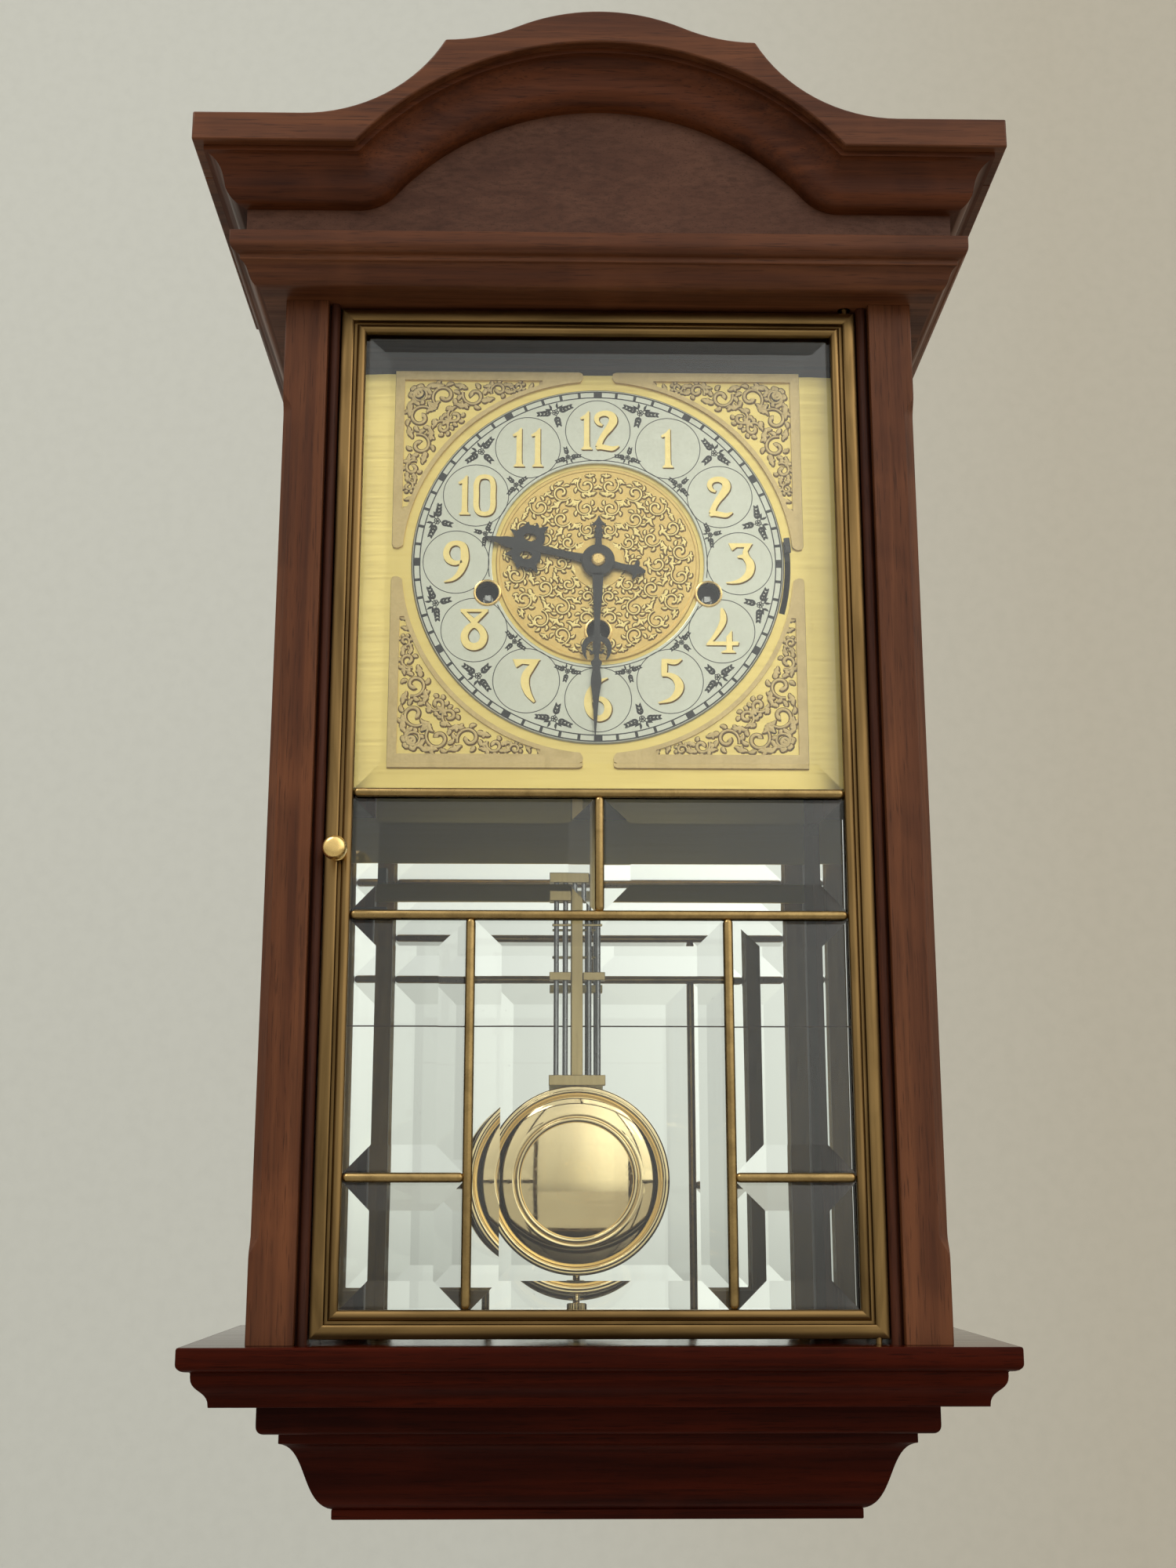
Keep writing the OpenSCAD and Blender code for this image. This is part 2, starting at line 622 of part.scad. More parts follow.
module pendulum_rods() color("#777777") in_frame() for (x = [-8.7, -4.9, 4.9, 8.7])
    bar_z(pend_x + x, pend_y, 1.05, 101.2, grid_top);

// Bottom block, middle block, clip and top block across the rods
module pendulum_blocks() color(brass) in_frame() difference() {
    translate([pend_x, 0, 0]) {
        box([-11.65, pend_y - 2.5, 97], [11.65, pend_y + 2.5, 101.2]);
        box([-11.6, pend_y - 2.2, 140.3], [11.6, pend_y + 2.2, 143.7]);
        box([-10.5, pend_y - 1.6, 155.5], [10.5, pend_y + 1.6, 156.5]);
        box([-11.65, pend_y - 2.5, grid_top], [11.65, pend_y + 2.5, grid_top + 4.2]);
    }
    box([pend_x - strip_half, pend_y - far, 101.2], [pend_x + strip_half, pend_y + 0.6, 300]);
    for (x = [-8.7, -4.9, 4.9, 8.7]) bar_z(pend_x + x, pend_y, 1.05, 101.2, grid_top);
}

// Spun bob: rim bead, hollow band, raised ring and a domed centre; thread for the nut below
module pendulum_bob() color("#d9b65a") in_frame() {
    translate([pend_x, pend_y, bob_z]) rotate([90, 0, 0]) rotate_extrude($fn = 96)
        polygon(concat([[0, -3], [bob_r - 2, -3], [bob_r, -1.5], [bob_r, 1.5]],
            curve([bob_r, 2], [bob_r, 4], [bob_r - 3, 4.2], [bob_r - 3.4, 2.6], 5),
            curve([bob_r - 4, 2.4], [31, 0.8], [27, 1], [26.2, 2.4], 5),
            curve([25.6, 3.6], [24.8, 4], [24, 3.6], [22.9, 2.6], 4), arc([22.9, 2.6], [0, 5], -110, 8)));
    bar_z(pend_x, pend_y, 1.2, 12, bob_z - bob_r + 1);
}

module rating_nut() color(brass) in_frame() difference() {
    bar_z(pend_x, pend_y, 4, 14, 18);
    bar_z(pend_x, pend_y, 1.2 + run, 13, 19);
}

base_board();
base_moulding();
plinth_board();
side_left();
side_right();
stile_left();
stile_right();
bead_strips();
back_panel();
cornice_board();
frieze_panel();
frieze_box();
crown_moulding();
pediment_board();
top_board();
hanger_plate();
mirror_upper();
mirror_lower();
seat_board();
door_bushes();
door_catch();
chime_rods();
chime_block();
hammer_bracket();
dial_plate();
chapter_ring();
dial_spandrels();
centre_disc();
winding_grommets();
front_plate();
back_plate();
plate_pillars();
suspension_post();
door_frame();
door_bars();
pane_top();
pane_centre();
panes_middle();
panes_side();
door_knob();
pivot_pins();
minute_hand();
hand_nut();
centre_arbor();
hour_hand();
hour_wheel();
chime_lever();
time_barrel();
strike_barrel();
chime_barrel();
escape_wheel();
pallet_anchor();
suspension_spring();
pendulum_strip();
pendulum_rods();
pendulum_blocks();
pendulum_bob();
rating_nut();
chime_hammers();
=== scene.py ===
from itertools import groupby
from math import asin, atan2, copysign, cos, degrees, hypot, pi, radians, sin, sqrt

import bmesh
import bpy
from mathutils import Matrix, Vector


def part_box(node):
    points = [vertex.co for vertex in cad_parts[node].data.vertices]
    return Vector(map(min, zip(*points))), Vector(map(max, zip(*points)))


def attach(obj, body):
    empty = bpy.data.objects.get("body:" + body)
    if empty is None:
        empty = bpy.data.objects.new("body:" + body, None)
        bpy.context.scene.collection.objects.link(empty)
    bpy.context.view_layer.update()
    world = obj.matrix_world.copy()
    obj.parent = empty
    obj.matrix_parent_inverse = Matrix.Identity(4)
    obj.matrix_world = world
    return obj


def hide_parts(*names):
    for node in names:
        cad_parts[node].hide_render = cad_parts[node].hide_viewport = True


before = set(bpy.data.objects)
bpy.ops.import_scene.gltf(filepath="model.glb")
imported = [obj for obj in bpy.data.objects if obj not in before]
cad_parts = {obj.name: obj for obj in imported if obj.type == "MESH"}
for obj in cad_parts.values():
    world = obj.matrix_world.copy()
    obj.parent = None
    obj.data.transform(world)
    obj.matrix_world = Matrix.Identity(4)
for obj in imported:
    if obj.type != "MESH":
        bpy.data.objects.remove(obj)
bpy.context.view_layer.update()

# Drawing sizes are millimetres, as in the CAD source: X = 0 on the centre line, Y = 0 on the
# front of the stiles (+Y to the wall) and Z = 0 on top of the base ledge.
MM = 0.001
Y0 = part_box("stile_left")[0].y
Z0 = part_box("base_board")[1].z


def at(x, y, z):
    """A drawing point in metres, in the part's frame."""
    return Vector((x * MM, Y0 + y * MM, Z0 + z * MM))


def box_mm(name):
    """A CAD node's box in drawing millimetres, as (x0, x1, y0, y1, z0, z1)."""
    low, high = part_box(name)
    return (low.x / MM, high.x / MM, (low.y - Y0) / MM, (high.y - Y0) / MM,
            (low.z - Z0) / MM, (high.z - Z0) / MM)


HALF_W = -box_mm("side_left")[0]
CASE_D = box_mm("back_panel")[3]
CASE_H = box_mm("side_left")[5]


# ---- material helpers ----
def material(name, **sockets):
    """A new material, with constants set on its shader's sockets."""
    mat = bpy.data.materials.new(name)
    mat.use_nodes = True
    for key, value in sockets.items():
        mat.node_tree.nodes["Principled BSDF"].inputs[key.replace("_", " ")].default_value = value
    return mat


def node(mat, kind, inputs, **settings):
    """Adds a node to a material or the world; inputs are constants or other nodes' outputs."""
    made = mat.node_tree.nodes.new("ShaderNode" + kind)
    for key, value in settings.items():
        setattr(made, key, value)
    for key, value in inputs.items():
        if isinstance(value, bpy.types.NodeSocket):
            mat.node_tree.links.new(value, made.inputs[key])
        else:
            made.inputs[key].default_value = (*value, 1.0) if made.inputs[key].type == "RGBA" else value
    return made


def noise(mat, scale, detail, distortion=0.0):
    """Noise in object space; scale is in cycles per metre for each axis."""
    coord = node(mat, "TexCoord", {})
    mapped = node(mat, "Mapping", {"Vector": coord.outputs["Object"], "Scale": scale})
    return node(mat, "TexNoise", {"Vector": mapped.outputs[0], "Scale": 1.0, "Detail": detail,
                                  "Distortion": distortion}).outputs[0]


def spread(mat, value, low, high, to_low, to_high):
    """Maps low..high to to_low..to_high, clamped."""
    return node(mat, "MapRange", {0: value, 1: low, 2: high, 3: to_low, 4: to_high}).outputs[0]


def mix(mat, factor, first, second, blend="MIX"):
    """Blends two colours, each an output or (red, green, blue), by a factor."""
    return node(mat, "Mix", {0: factor, 6: first, 7: second}, data_type="RGBA",
                blend_type=blend).outputs[2]


def link(mat, output, socket, shader="Principled BSDF"):
    mat.node_tree.links.new(output, mat.node_tree.nodes[shader].inputs[socket])


def bump(mat, height, strength, depth_mm):
    """Relief on a material's surface."""
    made = node(mat, "Bump", {"Strength": strength, "Distance": depth_mm * MM, "Height": height})
    link(mat, made.outputs[0], "Normal")


def wood(name, light, dark, axis, rough=0.4, shine=0.16, stretch=30.0):
    """Stained, lacquered wood with its grain along an axis."""
    mat = material(name, Specular_IOR_Level=shine)

    def grain(across, along):
        scale = [across] * 3
        scale[axis] = along
        return scale

    figure = noise(mat, grain(95.0, 95.0 / stretch), 5.0, 1.0)
    streak = noise(mat, grain(620.0, 560.0 / stretch), 4.0, 0.2)
    pores = noise(mat, grain(1900.0, 2400.0 / stretch), 2.0)
    cloud = noise(mat, [14.0] * 3, 3.0, 0.8)
    tone = mix(mat, spread(mat, figure, 0.36, 0.66, 0.0, 1.0), dark, light)
    deep = [0.5 * c for c in dark]
    tone = mix(mat, spread(mat, streak, 0.44, 0.7, 0.0, 0.5), tone, deep)
    pale = [min(1.0, 1.35 * c) for c in light]
    tone = mix(mat, spread(mat, cloud, 0.48, 0.78, 0.0, 0.5), tone, pale)
    tone = mix(mat, spread(mat, pores, 0.58, 0.68, 0.0, 0.6), tone, deep)
    link(mat, tone, "Base Color")
    link(mat, spread(mat, streak, 0.3, 0.7, rough - 0.06, rough + 0.1), "Roughness")
    bump(mat, mix(mat, 0.5, streak, pores), 0.16, 0.12)
    return mat


def metal(name, light, dark, rough, patina, axis=None, grit=0.05, spots=120.0):
    """Metal with patches of patina and a fine brushed or cast texture."""
    mat = material(name, Metallic=1.0)
    fine = [900.0] * 3
    soft = [spots] * 3
    if axis is not None:
        fine[axis] = 25.0
        soft[axis] = spots / 8
    patches = noise(mat, soft, 4.0, 0.6)
    brushed = noise(mat, fine, 3.0)
    tone = mix(mat, spread(mat, patches, 0.42, 0.72, 0.0, patina), light, dark)
    tone = mix(mat, spread(mat, brushed, 0.4, 0.8, 0.0, 0.3), tone, dark)
    link(mat, tone, "Base Color")
    link(mat, spread(mat, brushed, 0.3, 0.7, rough - 0.04, rough + 0.08), "Roughness")
    bump(mat, brushed, grit, 0.05)
    return mat


def paint(name, colour, worn, rough):
    """Satin paint with slight mottling."""
    mat = material(name)
    patches = noise(mat, [180.0] * 3, 4.0, 0.4)
    fine = noise(mat, [1400.0] * 3, 2.0)
    link(mat, mix(mat, spread(mat, patches, 0.4, 0.75, 0.0, 0.5), colour, worn), "Base Color")
    link(mat, spread(mat, fine, 0.3, 0.7, rough - 0.06, rough + 0.06), "Roughness")
    bump(mat, fine, 0.05, 0.05)
    return mat


def clear(name):
    """Clean glass with faint smudges."""
    mat = material(name, Transmission_Weight=1.0, IOR=1.5, Specular_IOR_Level=0.3,
                   Base_Color=(0.97, 0.99, 0.975, 1.0))
    smudge = noise(mat, (35.0, 35.0, 22.0), 4.0, 1.0)
    link(mat, spread(mat, smudge, 0.55, 0.85, 0.0, 0.035), "Roughness")
    return mat


def silvering(name):
    """Mirror glass with a little haze and a few specks."""
    mat = material(name, Metallic=1.0)
    haze = noise(mat, (26.0, 26.0, 18.0), 4.0, 1.2)
    specks = spread(mat, noise(mat, [700.0] * 3, 1.0), 0.74, 0.8, 0.0, 0.35)
    link(mat, mix(mat, specks, (0.9, 0.92, 0.9), (0.5, 0.52, 0.5)), "Base Color")
    link(mat, spread(mat, haze, 0.5, 0.9, 0.0, 0.04), "Roughness")
    return mat


# The last letter of a wood's or a metal's name is the axis of its grain.
CHERRY = ((0.125, 0.042, 0.016), (0.066, 0.02, 0.0078))
cherry_x, cherry_y, cherry_z = [wood("cherry_" + "xyz"[axis], *CHERRY, axis) for axis in range(3)]
# The crown moulding's cherry, darker than the case's: partly painted shade of its downward-facing cove
CROWN_SHADED = ((0.09, 0.025, 0.0085), (0.046, 0.012, 0.0042))
crown_shaded_x, crown_shaded_y = [wood("crown_cherry_" + "xy"[axis], *CROWN_SHADED, axis, 0.38, 0.12) for axis in (0, 1)]
# Darker red cherry for the base, ledge and frieze box: partly a deeper stain, partly painted shade under the
# base
DEEP_STAIN_AND_SHADE = ((0.044, 0.005, 0.0013), (0.019, 0.0022, 0.0007))
deep_shaded_x, deep_shaded_y = [wood("deep_cherry_" + "xy"[axis], *DEEP_STAIN_AND_SHADE, axis, 0.4, 0.045) for axis in (0, 1)]
deep_shaded_gloss = wood("deep_cherry_gloss", *DEEP_STAIN_AND_SHADE, 0, 0.12, 0.5)
deep_z = wood("deep_cherry_z", (0.06, 0.018, 0.009), (0.03, 0.009, 0.005), 2, 0.45, 0.1)
VENEER = ((0.086, 0.036, 0.021), (0.062, 0.024, 0.0135))
veneer = wood("frieze_veneer", *VENEER, 0, 0.42, 0.14, 2.5)
back_wood = wood("back_wood", (0.34, 0.19, 0.09), (0.2, 0.1, 0.045), 2, 0.6, 0.15)
seat_wood = wood("seat_wood", (0.05, 0.045, 0.036), (0.025, 0.022, 0.018), 0, 0.6, 0.15)
AGED = ((0.25, 0.155, 0.06), (0.075, 0.045, 0.017))
brass_x = metal("aged_brass_x", *AGED, 0.34, 0.75, 0)
brass_z = metal("aged_brass_z", *AGED, 0.34, 0.75, 2)
came_brass = metal("came_brass", (0.36, 0.245, 0.1), (0.14, 0.09, 0.035), 0.3, 0.5)
knob_brass = metal("knob_brass", (0.88, 0.62, 0.24), (0.5, 0.33, 0.12), 0.24, 0.25)
gilt = metal("gilt", (0.92, 0.715, 0.25), (0.82, 0.61, 0.19), 0.38, 0.2, 0, 0.02, 30.0)
gilt_raised = metal("gilt_raised", (1.0, 0.8, 0.34), (0.84, 0.62, 0.21), 0.32, 0.3)
gilt_warm = metal("gilt_warm", (0.9, 0.64, 0.23), (0.76, 0.51, 0.16), 0.42, 0.3)
# Dark gold laid beside raised numerals and scrolls as painted shade
gilt_painted_shade = metal("gilt_painted_shade", (0.21, 0.115, 0.026), (0.14, 0.075, 0.017), 0.5, 0.4)
bronze = metal("spandrel_bronze", (0.74, 0.555, 0.26), (0.55, 0.39, 0.165), 0.42, 0.5)
silvered = metal("silvered", (0.74, 0.74, 0.63), (0.64, 0.64, 0.53), 0.4, 0.4, None, 0.03, 60.0)
move_brass = metal("movement_brass", (0.62, 0.46, 0.19), (0.4, 0.28, 0.1), 0.34, 0.4, 2)
satin_brass = metal("pendulum_satin", (0.56, 0.44, 0.22), (0.38, 0.28, 0.13), 0.36, 0.4, 2)
POLISHED = ((0.86, 0.69, 0.39), (0.76, 0.58, 0.3))
bob_brass = metal("bob_polished", *POLISHED, 0.045, 0.2, None, 0.0, 40.0)
steel = metal("steel", (0.36, 0.37, 0.38), (0.2, 0.2, 0.21), 0.3, 0.4)
bright_steel = metal("bright_steel", (0.52, 0.52, 0.5), (0.36, 0.36, 0.35), 0.28, 0.3)
iron = metal("iron", (0.09, 0.09, 0.09), (0.05, 0.05, 0.05), 0.55, 0.5, None, 0.2)
black = paint("black_paint", (0.016, 0.016, 0.017), (0.035, 0.034, 0.034), 0.36)
ink = paint("engraved_ink", (0.02, 0.02, 0.02), (0.05, 0.05, 0.048), 0.5)
glass = clear("bevelled_glass")
mirror = silvering("mirror_glass")


# ---- mesh helpers ----
SMOOTH_ANGLE = 32  # edges sharper than this many degrees stay crisp


def curve(p, q, r, s, n=10):
    """Points of a cubic curve from p to s, pulled towards q and r."""
    made = []
    for i in range(n + 1):
        t = i / n
        u = 1 - t
        made.append(tuple(u ** 3 * a + 3 * u * u * t * b + 3 * u * t * t * c + t ** 3 * d
                          for a, b, c, d in zip(p, q, r, s)))
    return made


def arc(centre, radius, start, end, n=12):
    """Points of a circular arc; angles in degrees, counter-clockwise."""
    angles = [radians(start + (end - start) * i / n) for i in range(n + 1)]
    return [(centre[0] + radius * cos(a), centre[1] + radius * sin(a)) for a in angles]


def smooth(points, steps, closed=False):
    """A curve through points of any dimension."""
    count = len(points)
    made = []
    for i in range(count if closed else count - 1):
        near = [k % count if closed else min(max(k, 0), count - 1) for k in range(i - 1, i + 3)]
        p = [points[k] for k in near]
        for j in range(steps):
            t = j / steps
            made.append(tuple(
                0.5 * (2 * b + (c - a) * t + (2 * a - 5 * b + 4 * c - d) * t * t
                       + (3 * b - a - 3 * c + d) * t ** 3)
                for a, b, c, d in zip(*p)))
    if not closed:
        made.append(tuple(points[-1]))
    return made


def loft(rows, around=True, caps=True):
    """Vertices and faces through rows of as many points each."""
    n = len(rows[0])
    verts = [p for row in rows for p in row]
    faces = []
    for i in range(len(rows) - 1):
        for k in range(n if around else n - 1):
            a = i * n + k
            b = i * n + (k + 1) % n
            faces.append((a, b, b + n, a + n))
    if caps:
        faces.append(tuple(range(n)))
        faces.append(tuple(range(len(verts) - n, len(verts))))
    return verts, faces


def prism(outline, y0, y1):
    """A closed X-Z outline from depth y0 to depth y1."""
    return loft([[(x, y0, z) for x, z in outline], [(x, y1, z) for x, z in outline]])


def stick(outline, z0, z1):
    """A closed X-Y outline from height z0 to height z1."""
    return loft([[(x, y, z0) for x, y in outline], [(x, y, z1) for x, y in outline]])


def block(x0, x1, y0, y1, z0, z1):
    """A box between two corners, given as a CAD node's box is."""
    return stick([(x0, y0), (x1, y0), (x1, y1), (x0, y1)], z0, z1)


def turned(profile, centre, axis="y", n=64, closed=False):
    """Turns (radius, height) points about a y or z axis; closed joins the profile's two ends."""
    rows = []
    for i in range(n + 1):
        a = 2 * pi * (i % n) / n
        points = [(centre[0] + r * cos(a), centre[1] + r * sin(a), h) for r, h in profile]
        rows.append([(p, h, q) for p, q, h in points] if axis == "y" else points)
    return loft(rows, closed, False)


def ribbon(points, y, height, steps=5, crown=False, closed=False):
    """A raised line of (x, z, width) points on the plane at depth y, towards the viewer."""
    line = smooth(points, steps, closed) if steps else list(points)
    section = [(-1, 0), (-0.8, 0.75), (0, 1), (0.8, 0.75), (1, 0)]
    if not crown:
        section = [(-1, 0), (-1, 1), (1, 1), (1, 0)]
    padded = [line[-1], *line, line[0]] if closed else [line[0], *line, line[-1]]
    rows = []
    for before, (x, z, w), after in zip(padded, line, padded[2:]):
        dx, dz = after[0] - before[0], after[1] - before[1]
        size = hypot(dx, dz) or 1.0
        nx, nz = -dz / size * w / 2, dx / size * w / 2
        rows.append([(x + nx * s, y - height * t, z + nz * s) for s, t in section])
    if closed:
        rows.append(rows[0])
    return loft(rows, True, not closed)


class Shape:
    """Vertices, faces and material numbers of one piece."""

    def __init__(self, *parts):
        self.verts = []
        self.faces = []
        self.slots = []
        for part in parts:
            self.add(part)

    def add(self, part, mat=0, place=None):
        """Adds a closed part; mat is its slot, or a list of one for each face. Points of the part
        that coincide become one; those of two parts do not."""
        verts, faces = part
        slots = mat if isinstance(mat, list) else [mat] * len(faces)
        number, index = {}, []
        for vert in verts:
            spot = tuple(round(c, 4) for c in vert)
            if spot not in number:
                number[spot] = len(self.verts)
                self.verts.append(place(*vert) if place else vert)
            index.append(number[spot])
        for face, slot in zip(faces, slots):
            ring = [index[i] for i in face]
            ring = [i for k, i in enumerate(ring) if i != ring[k - 1]]
            if len(ring) > 2:
                self.faces.append(tuple(ring))
                self.slots.append(slot)
        return self


def placed(name, data):
    """A new object in the scene."""
    obj = bpy.data.objects.new(name, data)
    bpy.context.scene.collection.objects.link(obj)
    return obj


def closed_mesh(name, shape):
    """A shape's mesh in metres, with all faces turned outwards."""
    mesh = bpy.data.meshes.new(name)
    mesh.from_pydata([at(*v) for v in shape.verts], [], shape.faces)
    mesh.polygons.foreach_set("material_index", shape.slots)
    work = bmesh.new()
    work.from_mesh(mesh)
    bmesh.ops.dissolve_degenerate(work, edges=work.edges, dist=2e-7)
    bmesh.ops.recalc_face_normals(work, faces=work.faces)
    work.to_mesh(mesh)
    work.free()
    return mesh


def piece(name, shape, mats, body, slot, *nodes, angle=SMOOTH_ANGLE, bevel=0.0, segments=2, flat=False):
    """Makes one visual piece that rides on a body and may stand for CAD nodes."""
    mesh = closed_mesh(name, shape if isinstance(shape, Shape) else Shape(shape))
    if not flat:
        mesh.polygons.foreach_set("use_smooth", [True] * len(mesh.polygons))
        mesh.set_sharp_from_angle(angle=radians(angle))
    for mat in mats if isinstance(mats, list) else [mats]:
        mesh.materials.append(mat)
    obj = placed(name, mesh)
    if bevel:
        soft = obj.modifiers.new("arris", "BEVEL")
        soft.width = bevel * MM
        soft.segments = segments
        soft.limit_method = "ANGLE"
        soft.angle_limit = radians(40)
    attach(obj, body)
    if nodes:
        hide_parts(*nodes)
    return obj


def cut(obj, shape):
    """Cuts a shape out of a piece."""
    tool = placed("cutter", closed_mesh("cutter", shape))
    opening = obj.modifiers.new("opening", "BOOLEAN")
    opening.operation = "DIFFERENCE"
    opening.solver = "EXACT"
    opening.object = tool
    bpy.context.view_layer.update()
    made = bpy.data.meshes.new_from_object(obj.evaluated_get(bpy.context.evaluated_depsgraph_get()))
    obj.modifiers.remove(opening)
    obj.data = made
    made.set_sharp_from_angle(angle=radians(SMOOTH_ANGLE))
    bpy.data.objects.remove(tool)


# ---- case ----
def moulding(profile, extra=0.0, first=0):
    """A board whose front and two ends follow (overhang, height) points, flat at the wall.
    first is the slot of the flat face at the first point."""
    rows = []
    for o, z in profile:
        side = HALF_W + extra + o
        rows.append([(-side, CASE_D, z), (-side, -o, z), (side, -o, z), (side, CASE_D, z)])
    verts, faces = loft(rows, False, True)
    last = len(rows) - 1
    back = [i * 4 for i in range(last + 1)] + [i * 4 + 3 for i in range(last, -1, -1)]
    slots = [0 if k % 3 == 1 else 1 for k in range(3 * last)] + [first, 0, 0]
    return Shape().add((verts, faces + [tuple(back)]), slots)


# Base: the ledge's nose and ogee, then the cushion and the cove under it
LEDGE_FRONT = -box_mm("base_board")[2]
LEDGE_EXTRA = box_mm("base_board")[1] - HALF_W - LEDGE_FRONT
BASE_Z = box_mm("base_board")[4]
BASE_LOW = box_mm("base_moulding")[4]


def inset(points):
    """Profile points given as distances back from the ledge's front edge."""
    return [(LEDGE_FRONT - s, z) for s, z in points]


nose = curve((0, -5.6), (0, -7.5), (2, -8.5), (4.1, -8.5))
ogee = curve((4.6, -10.2), (4.6, -15.5), (10.2, -15), (10.2, -20.5))
ledge = curve((0.9, 0), (0.3, 0), (0, -0.3), (0, -0.9), 3) + nose + [(4.6, -8.7)] + ogee
# The base's dark stain is partly painted shade
piece("base_ledge", moulding(inset(ledge + [(10.2, BASE_Z)]), LEDGE_EXTRA, 2),
      [deep_shaded_x, deep_shaded_y, deep_shaded_gloss], "case", "cherry_dark", "base_board", bevel=0.25)

cushion = curve((25.1, -28.5), (25.1, -31), (26.4, -32), (28.6, -32), 8)
foot = [(25.1, BASE_Z)] + cushion + [(32.4, -32.3)]
foot += curve((32.4, -35.6), (42, -37.5), (40, -57.5), (50.3, BASE_LOW), 20)
piece("base_foot", moulding(inset(foot), LEDGE_EXTRA), [deep_shaded_x, deep_shaded_y],
      "case", "cherry_dark", "base_moulding", bevel=0.2)
piece("base_plinth", block(*box_mm("plinth_board")), deep_shaded_x, "case", "cherry_dark",
      "plinth_board", bevel=0.5)

for name in ("side_left", "side_right"):
    piece("case_" + name, block(*box_mm(name)), cherry_z, "case", "cherry", name, bevel=0.4)

# Stiles: the outer front corner has a chamfer that runs out above and below
STILE_IN = box_mm("stile_right")[0]
STILE_D = box_mm("stile_right")[3]
CHAMFER_LOW, CHAMFER_HIGH, RUN_OUT = 30, 366, 9
stops = [(0, 0), (CHAMFER_LOW, 0)]
for t in range(1, 7):
    stops.append((CHAMFER_LOW + RUN_OUT * t / 6, (1 - cos(pi * t / 6)) / 2))
stops += [(CHAMFER_LOW + CHAMFER_HIGH - z, c) for z, c in reversed(stops[1:])] + [(CASE_H, 0)]
rows = []
for z, share in stops:
    c = 0.3 + 3.5 * share
    rows.append([(STILE_IN, 0, z), (HALF_W - c, 0, z), (HALF_W, c, z), (HALF_W, STILE_D, z),
                 (STILE_IN, STILE_D, z)])
stile = loft(rows)
for name, side in (("stile_left", -1), ("stile_right", 1)):
    shape = Shape().add(stile, 0, lambda x, y, z: (side * x, y, z))
    piece("front_" + name, shape, cherry_z, "case", "cherry", name, angle=25, bevel=0.25)

DOOR_HALF = box_mm("door_frame")[1]
bead = [(STILE_IN, STILE_D), (STILE_IN, 5.0), (108.6, 4.9), (108.4, 3.7)]
bead += curve((108.3, 3.5), (107.9, 2.2), (105.6, 2.1), (104.8, 4.2), 8) + [(104.7, STILE_D)]
shape = Shape(stick(bead, 0, CASE_H))
shape.add(stick([(-x, y) for x, y in bead], 0, CASE_H))
piece("door_stop_beads", shape, deep_z, "case", "cherry_dark", "bead_strips")

cornice = curve((9, 405), (14.5, 405.5), (12.5, 413), (16.5, 414), 12) + [(16.5, 415.6)]
cornice += curve((17, 416), (19.6, 416.6), (20.3, 418.5), (20.3, 420.8), 8)
FRIEZE_Z = box_mm("cornice_board")[5]
piece("cornice", moulding(cornice + [(20.3, FRIEZE_Z)]), [cherry_x, cherry_y], "case", "cherry",
      "cornice_board", bevel=0.3)

# Crown moulding: left end, left front, arch, right front and right end in one sweep
CROWN_H = 19.1
BOARD_Z = box_mm("top_board")[4]
ARCH_R = 125.7
ARCH_HALF = 96.3
ARCH_Z = BOARD_Z - sqrt(ARCH_R ** 2 - ARCH_HALF ** 2)
TURN = degrees(atan2(ARCH_HALF, BOARD_Z - ARCH_Z))
crown = curve((14.6, 0), (19.6, 0.2), (22.4, 3), (22.8, 7.5), 9)
crown += curve((23.1, 9), (23.8, 13.2), (26, 16.4), (30.1, 17), 9)
crown += [(30.1, CROWN_H), (14.6, CROWN_H)]


def crown_fan(x, z, radii, start, end, n):
    """The crown's section swung about (x, z), with a radius for each of its points."""
    made = []
    for i in range(n + 1):
        a = radians(start + (end - start) * i / n)
        made.append([(x + r * cos(a), -o, z + r * sin(a)) for r, (o, h) in zip(radii, crown)])
    return made


drop = [CROWN_H - h for o, h in crown]
left_end = [[(-HALF_W - o, CASE_D, BOARD_Z - d) for d, (o, h) in zip(drop, crown)],
            [(-HALF_W - o, -o, BOARD_Z - d) for d, (o, h) in zip(drop, crown)]]
rows = left_end + crown_fan(-ARCH_HALF, BOARD_Z, drop, 270, 270 + TURN, 12)
rows += crown_fan(0, ARCH_Z, [ARCH_R - d for d in drop], 90 + TURN, 90 - TURN, 48)
rows += crown_fan(ARCH_HALF, BOARD_Z, drop, 270 - TURN, 270, 12)
rows += [[(-x, y, z) for x, y, z in row] for row in reversed(left_end)]
ends = [1] * len(crown)
shape = Shape().add(loft(rows), ends + [0] * (len(crown) * (len(rows) - 3)) + ends + [1, 1])
# The crown's darker cherry is partly painted shade
piece("crown_cove", shape, [crown_shaded_x, crown_shaded_y], "case", "cherry", "crown_moulding", angle=28)

# Pediment board over the arch, and the flat board behind it
BOARD_OUT = -box_mm("pediment_board")[2]
BOARD_HALF = box_mm("top_board")[1]
END_Z = box_mm("top_board")[5]


def bowed(p, q, radius, n):
    """An arc from p to q, bulging to the left of p to q when the radius is positive."""
    dx, dz = q[0] - p[0], q[1] - p[1]
    size = hypot(dx, dz)
    turn = copysign(1, radius)
    lift = sqrt(radius ** 2 - size ** 2 / 4)
    c = ((p[0] + q[0]) / 2 + turn * lift * dz / size, (p[1] + q[1]) / 2 - turn * lift * dx / size)
    start = degrees(atan2(p[1] - c[1], p[0] - c[0]))
    sweep = 2 * degrees(asin(size / 2 / abs(radius)))
    return arc(c, abs(radius), start, start - turn * sweep, n)


